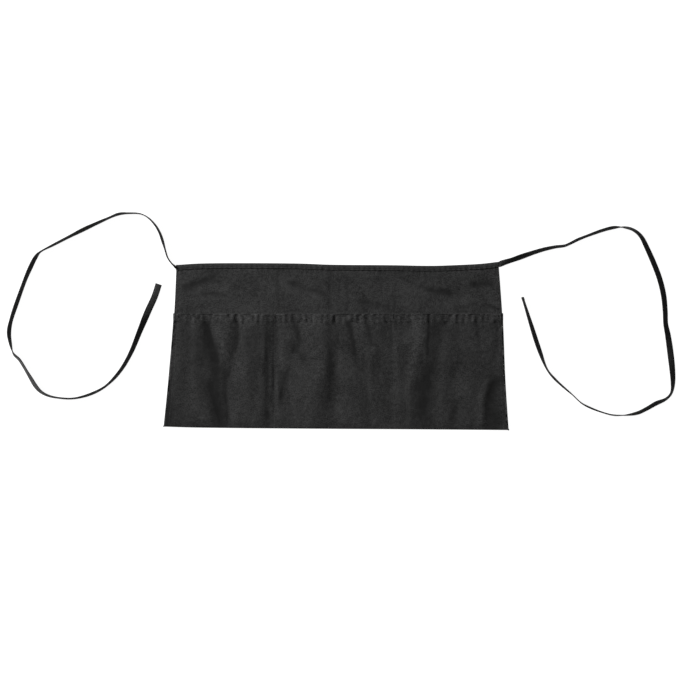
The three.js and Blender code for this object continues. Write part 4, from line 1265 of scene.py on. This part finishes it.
def add_node(tree, kind, settings=None, values=None):
    """Adds a node to a geometry tree, with its settings and the values of its sockets."""
    node = tree.nodes.new(kind)
    for key, value in (settings or {}).items():
        setattr(node, key, value)
    for key, value in (values or {}).items():
        node.inputs[key].default_value = value
    return node


def new_tree(name, inputs):
    """A geometry tree with the named inputs, and its input and output nodes."""
    tree = bpy.data.node_groups.new(name, "GeometryNodeTree")
    for label, kind in (("Geometry", "Geometry"), *inputs):
        tree.interface.new_socket(label, in_out="INPUT", socket_type="NodeSocket" + kind)
    tree.interface.new_socket("Geometry", in_out="OUTPUT", socket_type="NodeSocketGeometry")
    return tree, add_node(tree, "NodeGroupInput"), add_node(tree, "NodeGroupOutput")


def join(tree, links):
    """Links a tree's nodes, each link given as a node and its output, a node and its input."""
    for start, output, end, socket in links:
        tree.links.new(start.outputs[output], end.inputs[socket])


def finish_tree(tree, taken, last, output, given):
    """Ends a tree: its copies are made real and take the thread's material."""
    real = add_node(tree, "GeometryNodeRealizeInstances")
    painted = add_node(tree, "GeometryNodeSetMaterial")
    join(tree, (
        (last, output, real, "Geometry"),
        (real, "Geometry", painted, "Geometry"),
        (taken, "Thread", painted, "Material"),
        (painted, "Geometry", given, "Geometry"),
    ))


def stitch_tree():
    """A tree that lays threads along a line, with inputs for the stitches' pitch, length and width."""
    sizes = [(label, "Float") for label in ("Pitch", "Length", "Width", "Sink")]
    tree, taken, given = new_tree("stitch row", [*sizes, ("Thread", "Material")])
    line = add_node(tree, "GeometryNodeMeshToCurve")
    spaced = add_node(tree, "GeometryNodeResampleCurve", {"mode": "LENGTH"})
    join(tree, (
        (taken, "Geometry", line, "Mesh"),
        (line, "Curve", spaced, "Curve"),
        (taken, "Pitch", spaced, "Length"),
    ))
    size = add_node(tree, "ShaderNodeCombineXYZ")
    ball = add_node(tree, "GeometryNodeMeshUVSphere", None, {"Segments": 7, "Rings": 5, "Radius": 0.5})
    thread = add_node(tree, "GeometryNodeTransform")
    join(tree, (
        (taken, "Length", size, "X"),
        (taken, "Width", size, "Y"),
        (taken, "Width", size, "Z"),
        (ball, "Mesh", thread, "Geometry"),
        (size, "Vector", thread, "Scale"),
    ))
    tangent = add_node(tree, "GeometryNodeInputTangent")
    vectors = {"data_type": "FLOAT_VECTOR"}
    outward = add_node(tree, "GeometryNodeInputNamedAttribute", vectors, {"Name": "outward"})
    along = add_node(tree, "FunctionNodeAlignRotationToVector", {"axis": "X"})
    upward = add_node(tree, "FunctionNodeAlignRotationToVector", {"axis": "Z", "pivot_axis": "X"})
    depth = add_node(tree, "ShaderNodeVectorMath", {"operation": "SCALE"})
    sunk = add_node(tree, "GeometryNodeSetPosition")
    copies = add_node(tree, "GeometryNodeInstanceOnPoints")
    join(tree, (
        (tangent, "Tangent", along, "Vector"),
        (along, "Rotation", upward, "Rotation"),
        (outward, "Attribute", upward, "Vector"),
        (outward, "Attribute", depth, 0),
        (taken, "Sink", depth, "Scale"),
        (spaced, "Curve", sunk, "Geometry"),
        (depth, "Vector", sunk, "Offset"),
        (sunk, "Geometry", copies, "Points"),
        (thread, "Geometry", copies, "Instance"),
        (upward, "Rotation", copies, "Rotation"),
    ))
    finish_tree(tree, taken, copies, "Instances", given)
    return tree


STITCH_TREE = stitch_tree()
print("one tree of", len(STITCH_TREE.nodes), "nodes makes every row of stitches")

# %% Rows of stitches
def lines_mesh(name, rows):
    """Loose edges through rows of points, each with the outward direction of the cloth there."""
    points, edges, outward = [], [], []
    for line, direction in rows:
        first = len(points)
        points += [tuple(point) for point in line]
        outward += [tuple(way) for way in direction]
        edges += [(first + k, first + k + 1) for k in range(len(line) - 1)]
    mesh = bpy.data.meshes.new(name)
    mesh.from_pydata(points, edges, [])
    attribute = mesh.attributes.new("outward", "FLOAT_VECTOR", "POINT")
    attribute.data.foreach_set("vector", np.array(outward, np.float32).ravel())
    return mesh


def with_nodes(name, mesh, tree, values):
    """A piece that a geometry tree makes from a mesh, as a plain mesh that rides on the part."""
    piece = bpy.data.objects.new(name, mesh)
    bpy.context.scene.collection.objects.link(piece)
    nodes = piece.modifiers.new(tree.name, "NODES")
    nodes.node_group = tree
    taken = [item for item in tree.interface.items_tree if item.in_out == "INPUT"]
    sockets = {item.name: item.identifier for item in taken}
    for key, value in values.items():
        nodes[sockets[key]] = value
    baked(piece)
    piece.data.polygons.foreach_set("use_smooth", np.ones(len(piece.data.polygons), bool))
    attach(piece, "root")
    print(name, "has", len(piece.data.polygons), "faces")
    return piece


def stitch_piece(name, rows):
    """Rows of stitches as one piece."""
    values = {
        "Pitch": STITCH_PITCH,
        "Length": STITCH_LENGTH,
        "Width": THREAD_WIDTH,
        "Sink": -THREAD_SUNK,
        "Thread": THREAD,
    }
    return with_nodes(name, lines_mesh(name, rows), STITCH_TREE, values)


pocket_out = facing(pocket_grid)
body_out = facing(body_grid)
hem_row = int(np.argmin(np.abs(pocket_ups - (1 - HEM_STITCH / POCKET_HEIGHT))))
pocket_rows_sewn = [(pocket_grid[hem_row], pocket_out[hem_row])]
for seam in SEAMS:
    column = column_of(seam)
    pocket_rows_sewn.append((pocket_grid[:, column], pocket_out[:, column]))
stitch_piece("pocket_stitches", pocket_rows_sewn)

above = int(np.argmax(body_rows > MOUTH_SHARE))
under_band = int(np.argmax(body_rows > BAND_FOOT))
body_rows_sewn = []
for share in (SIDE_HEM / WAIST_LENGTH, 1 - SIDE_HEM / WAIST_LENGTH):
    column = int(np.argmin(np.abs(body_columns - share)))
    body_rows_sewn.append((body_grid[above:under_band, column], body_out[above:under_band, column]))
stitch_piece("body_stitches", body_rows_sewn)

upward = np.tile((0, 0, 1.0), (len(band_row), 1))
stitch_piece("band_stitches", [(band_row, upward)])
left_stitches = stitch_piece("left_tie_stitches", left_rows)
right_stitches = stitch_piece("right_tie_stitches", right_rows)

# %% The ties' lines, read point by point and not used
for piece, line, length, stitches in (
    (left_tie, left_line, left_length, left_stitches),
    (right_tie, right_line, right_length, right_stitches),
):
    tuple(line[0])
    [tuple(point) for point in line]

# %% [markdown]
# ## Bar tacks
#
# The pocket's mouth takes the strain of every hand that goes in, so each seam that ends there is
# locked with a bar tack: thread sewn back and forth in a tight zigzag. It is one thread, so a tree
# sweeps one round section along one zigzag line.


# %% Bar tacks
TACK_LENGTH = 8 * MM
TACK_WIDTH = 1.8 * MM
TACK_STEP = 0.42 * MM
TACK_LIFT = 0.35 * MM
TACK_THREAD = THREAD_WIDTH / 2 * 0.8


def tack_tree():
    """A tree that sweeps a round thread along a line, with an input for its radius."""
    tree, taken, given = new_tree("bar tack", (("Radius", "Float"), ("Thread", "Material")))
    line = add_node(tree, "GeometryNodeMeshToCurve")
    ring = add_node(tree, "GeometryNodeCurvePrimitiveCircle", None, {"Resolution": 6})
    sweep = add_node(tree, "GeometryNodeCurveToMesh", None, {"Fill Caps": True})
    join(tree, (
        (taken, "Geometry", line, "Mesh"),
        (taken, "Radius", ring, "Radius"),
        (line, "Curve", sweep, "Curve"),
        (ring, "Curve", sweep, "Profile Curve"),
    ))
    finish_tree(tree, taken, sweep, "Mesh", given)
    return tree


def zigzag(grid, out, column, rows, width):
    """A zigzag over a grid, along one of its columns, that follows the cloth's surface."""
    line = grid[rows, column]
    walked = walked_along(line)
    even = np.arange(0, walked[-1], TACK_STEP / 2)
    place = read_along(even, walked, line)
    place[:, 0] += np.where(np.arange(len(even)) % 2, 0.5, -0.5) * width
    place[:, 2] += TACK_LIFT
    return place, read_along(even, walked, out[rows, column])


mouth_rows = slice(len(pocket_ups) - 1 - round(TACK_LENGTH / MM), len(pocket_ups))
tack_rows = [
    zigzag(pocket_grid, pocket_out, column_of(seam), mouth_rows, TACK_WIDTH)
    for seam in SEAMS
]
tack_values = {"Radius": TACK_THREAD, "Thread": THREAD}
with_nodes("bar_tacks", lines_mesh("bar_tacks", tack_rows), tack_tree(), tack_values)
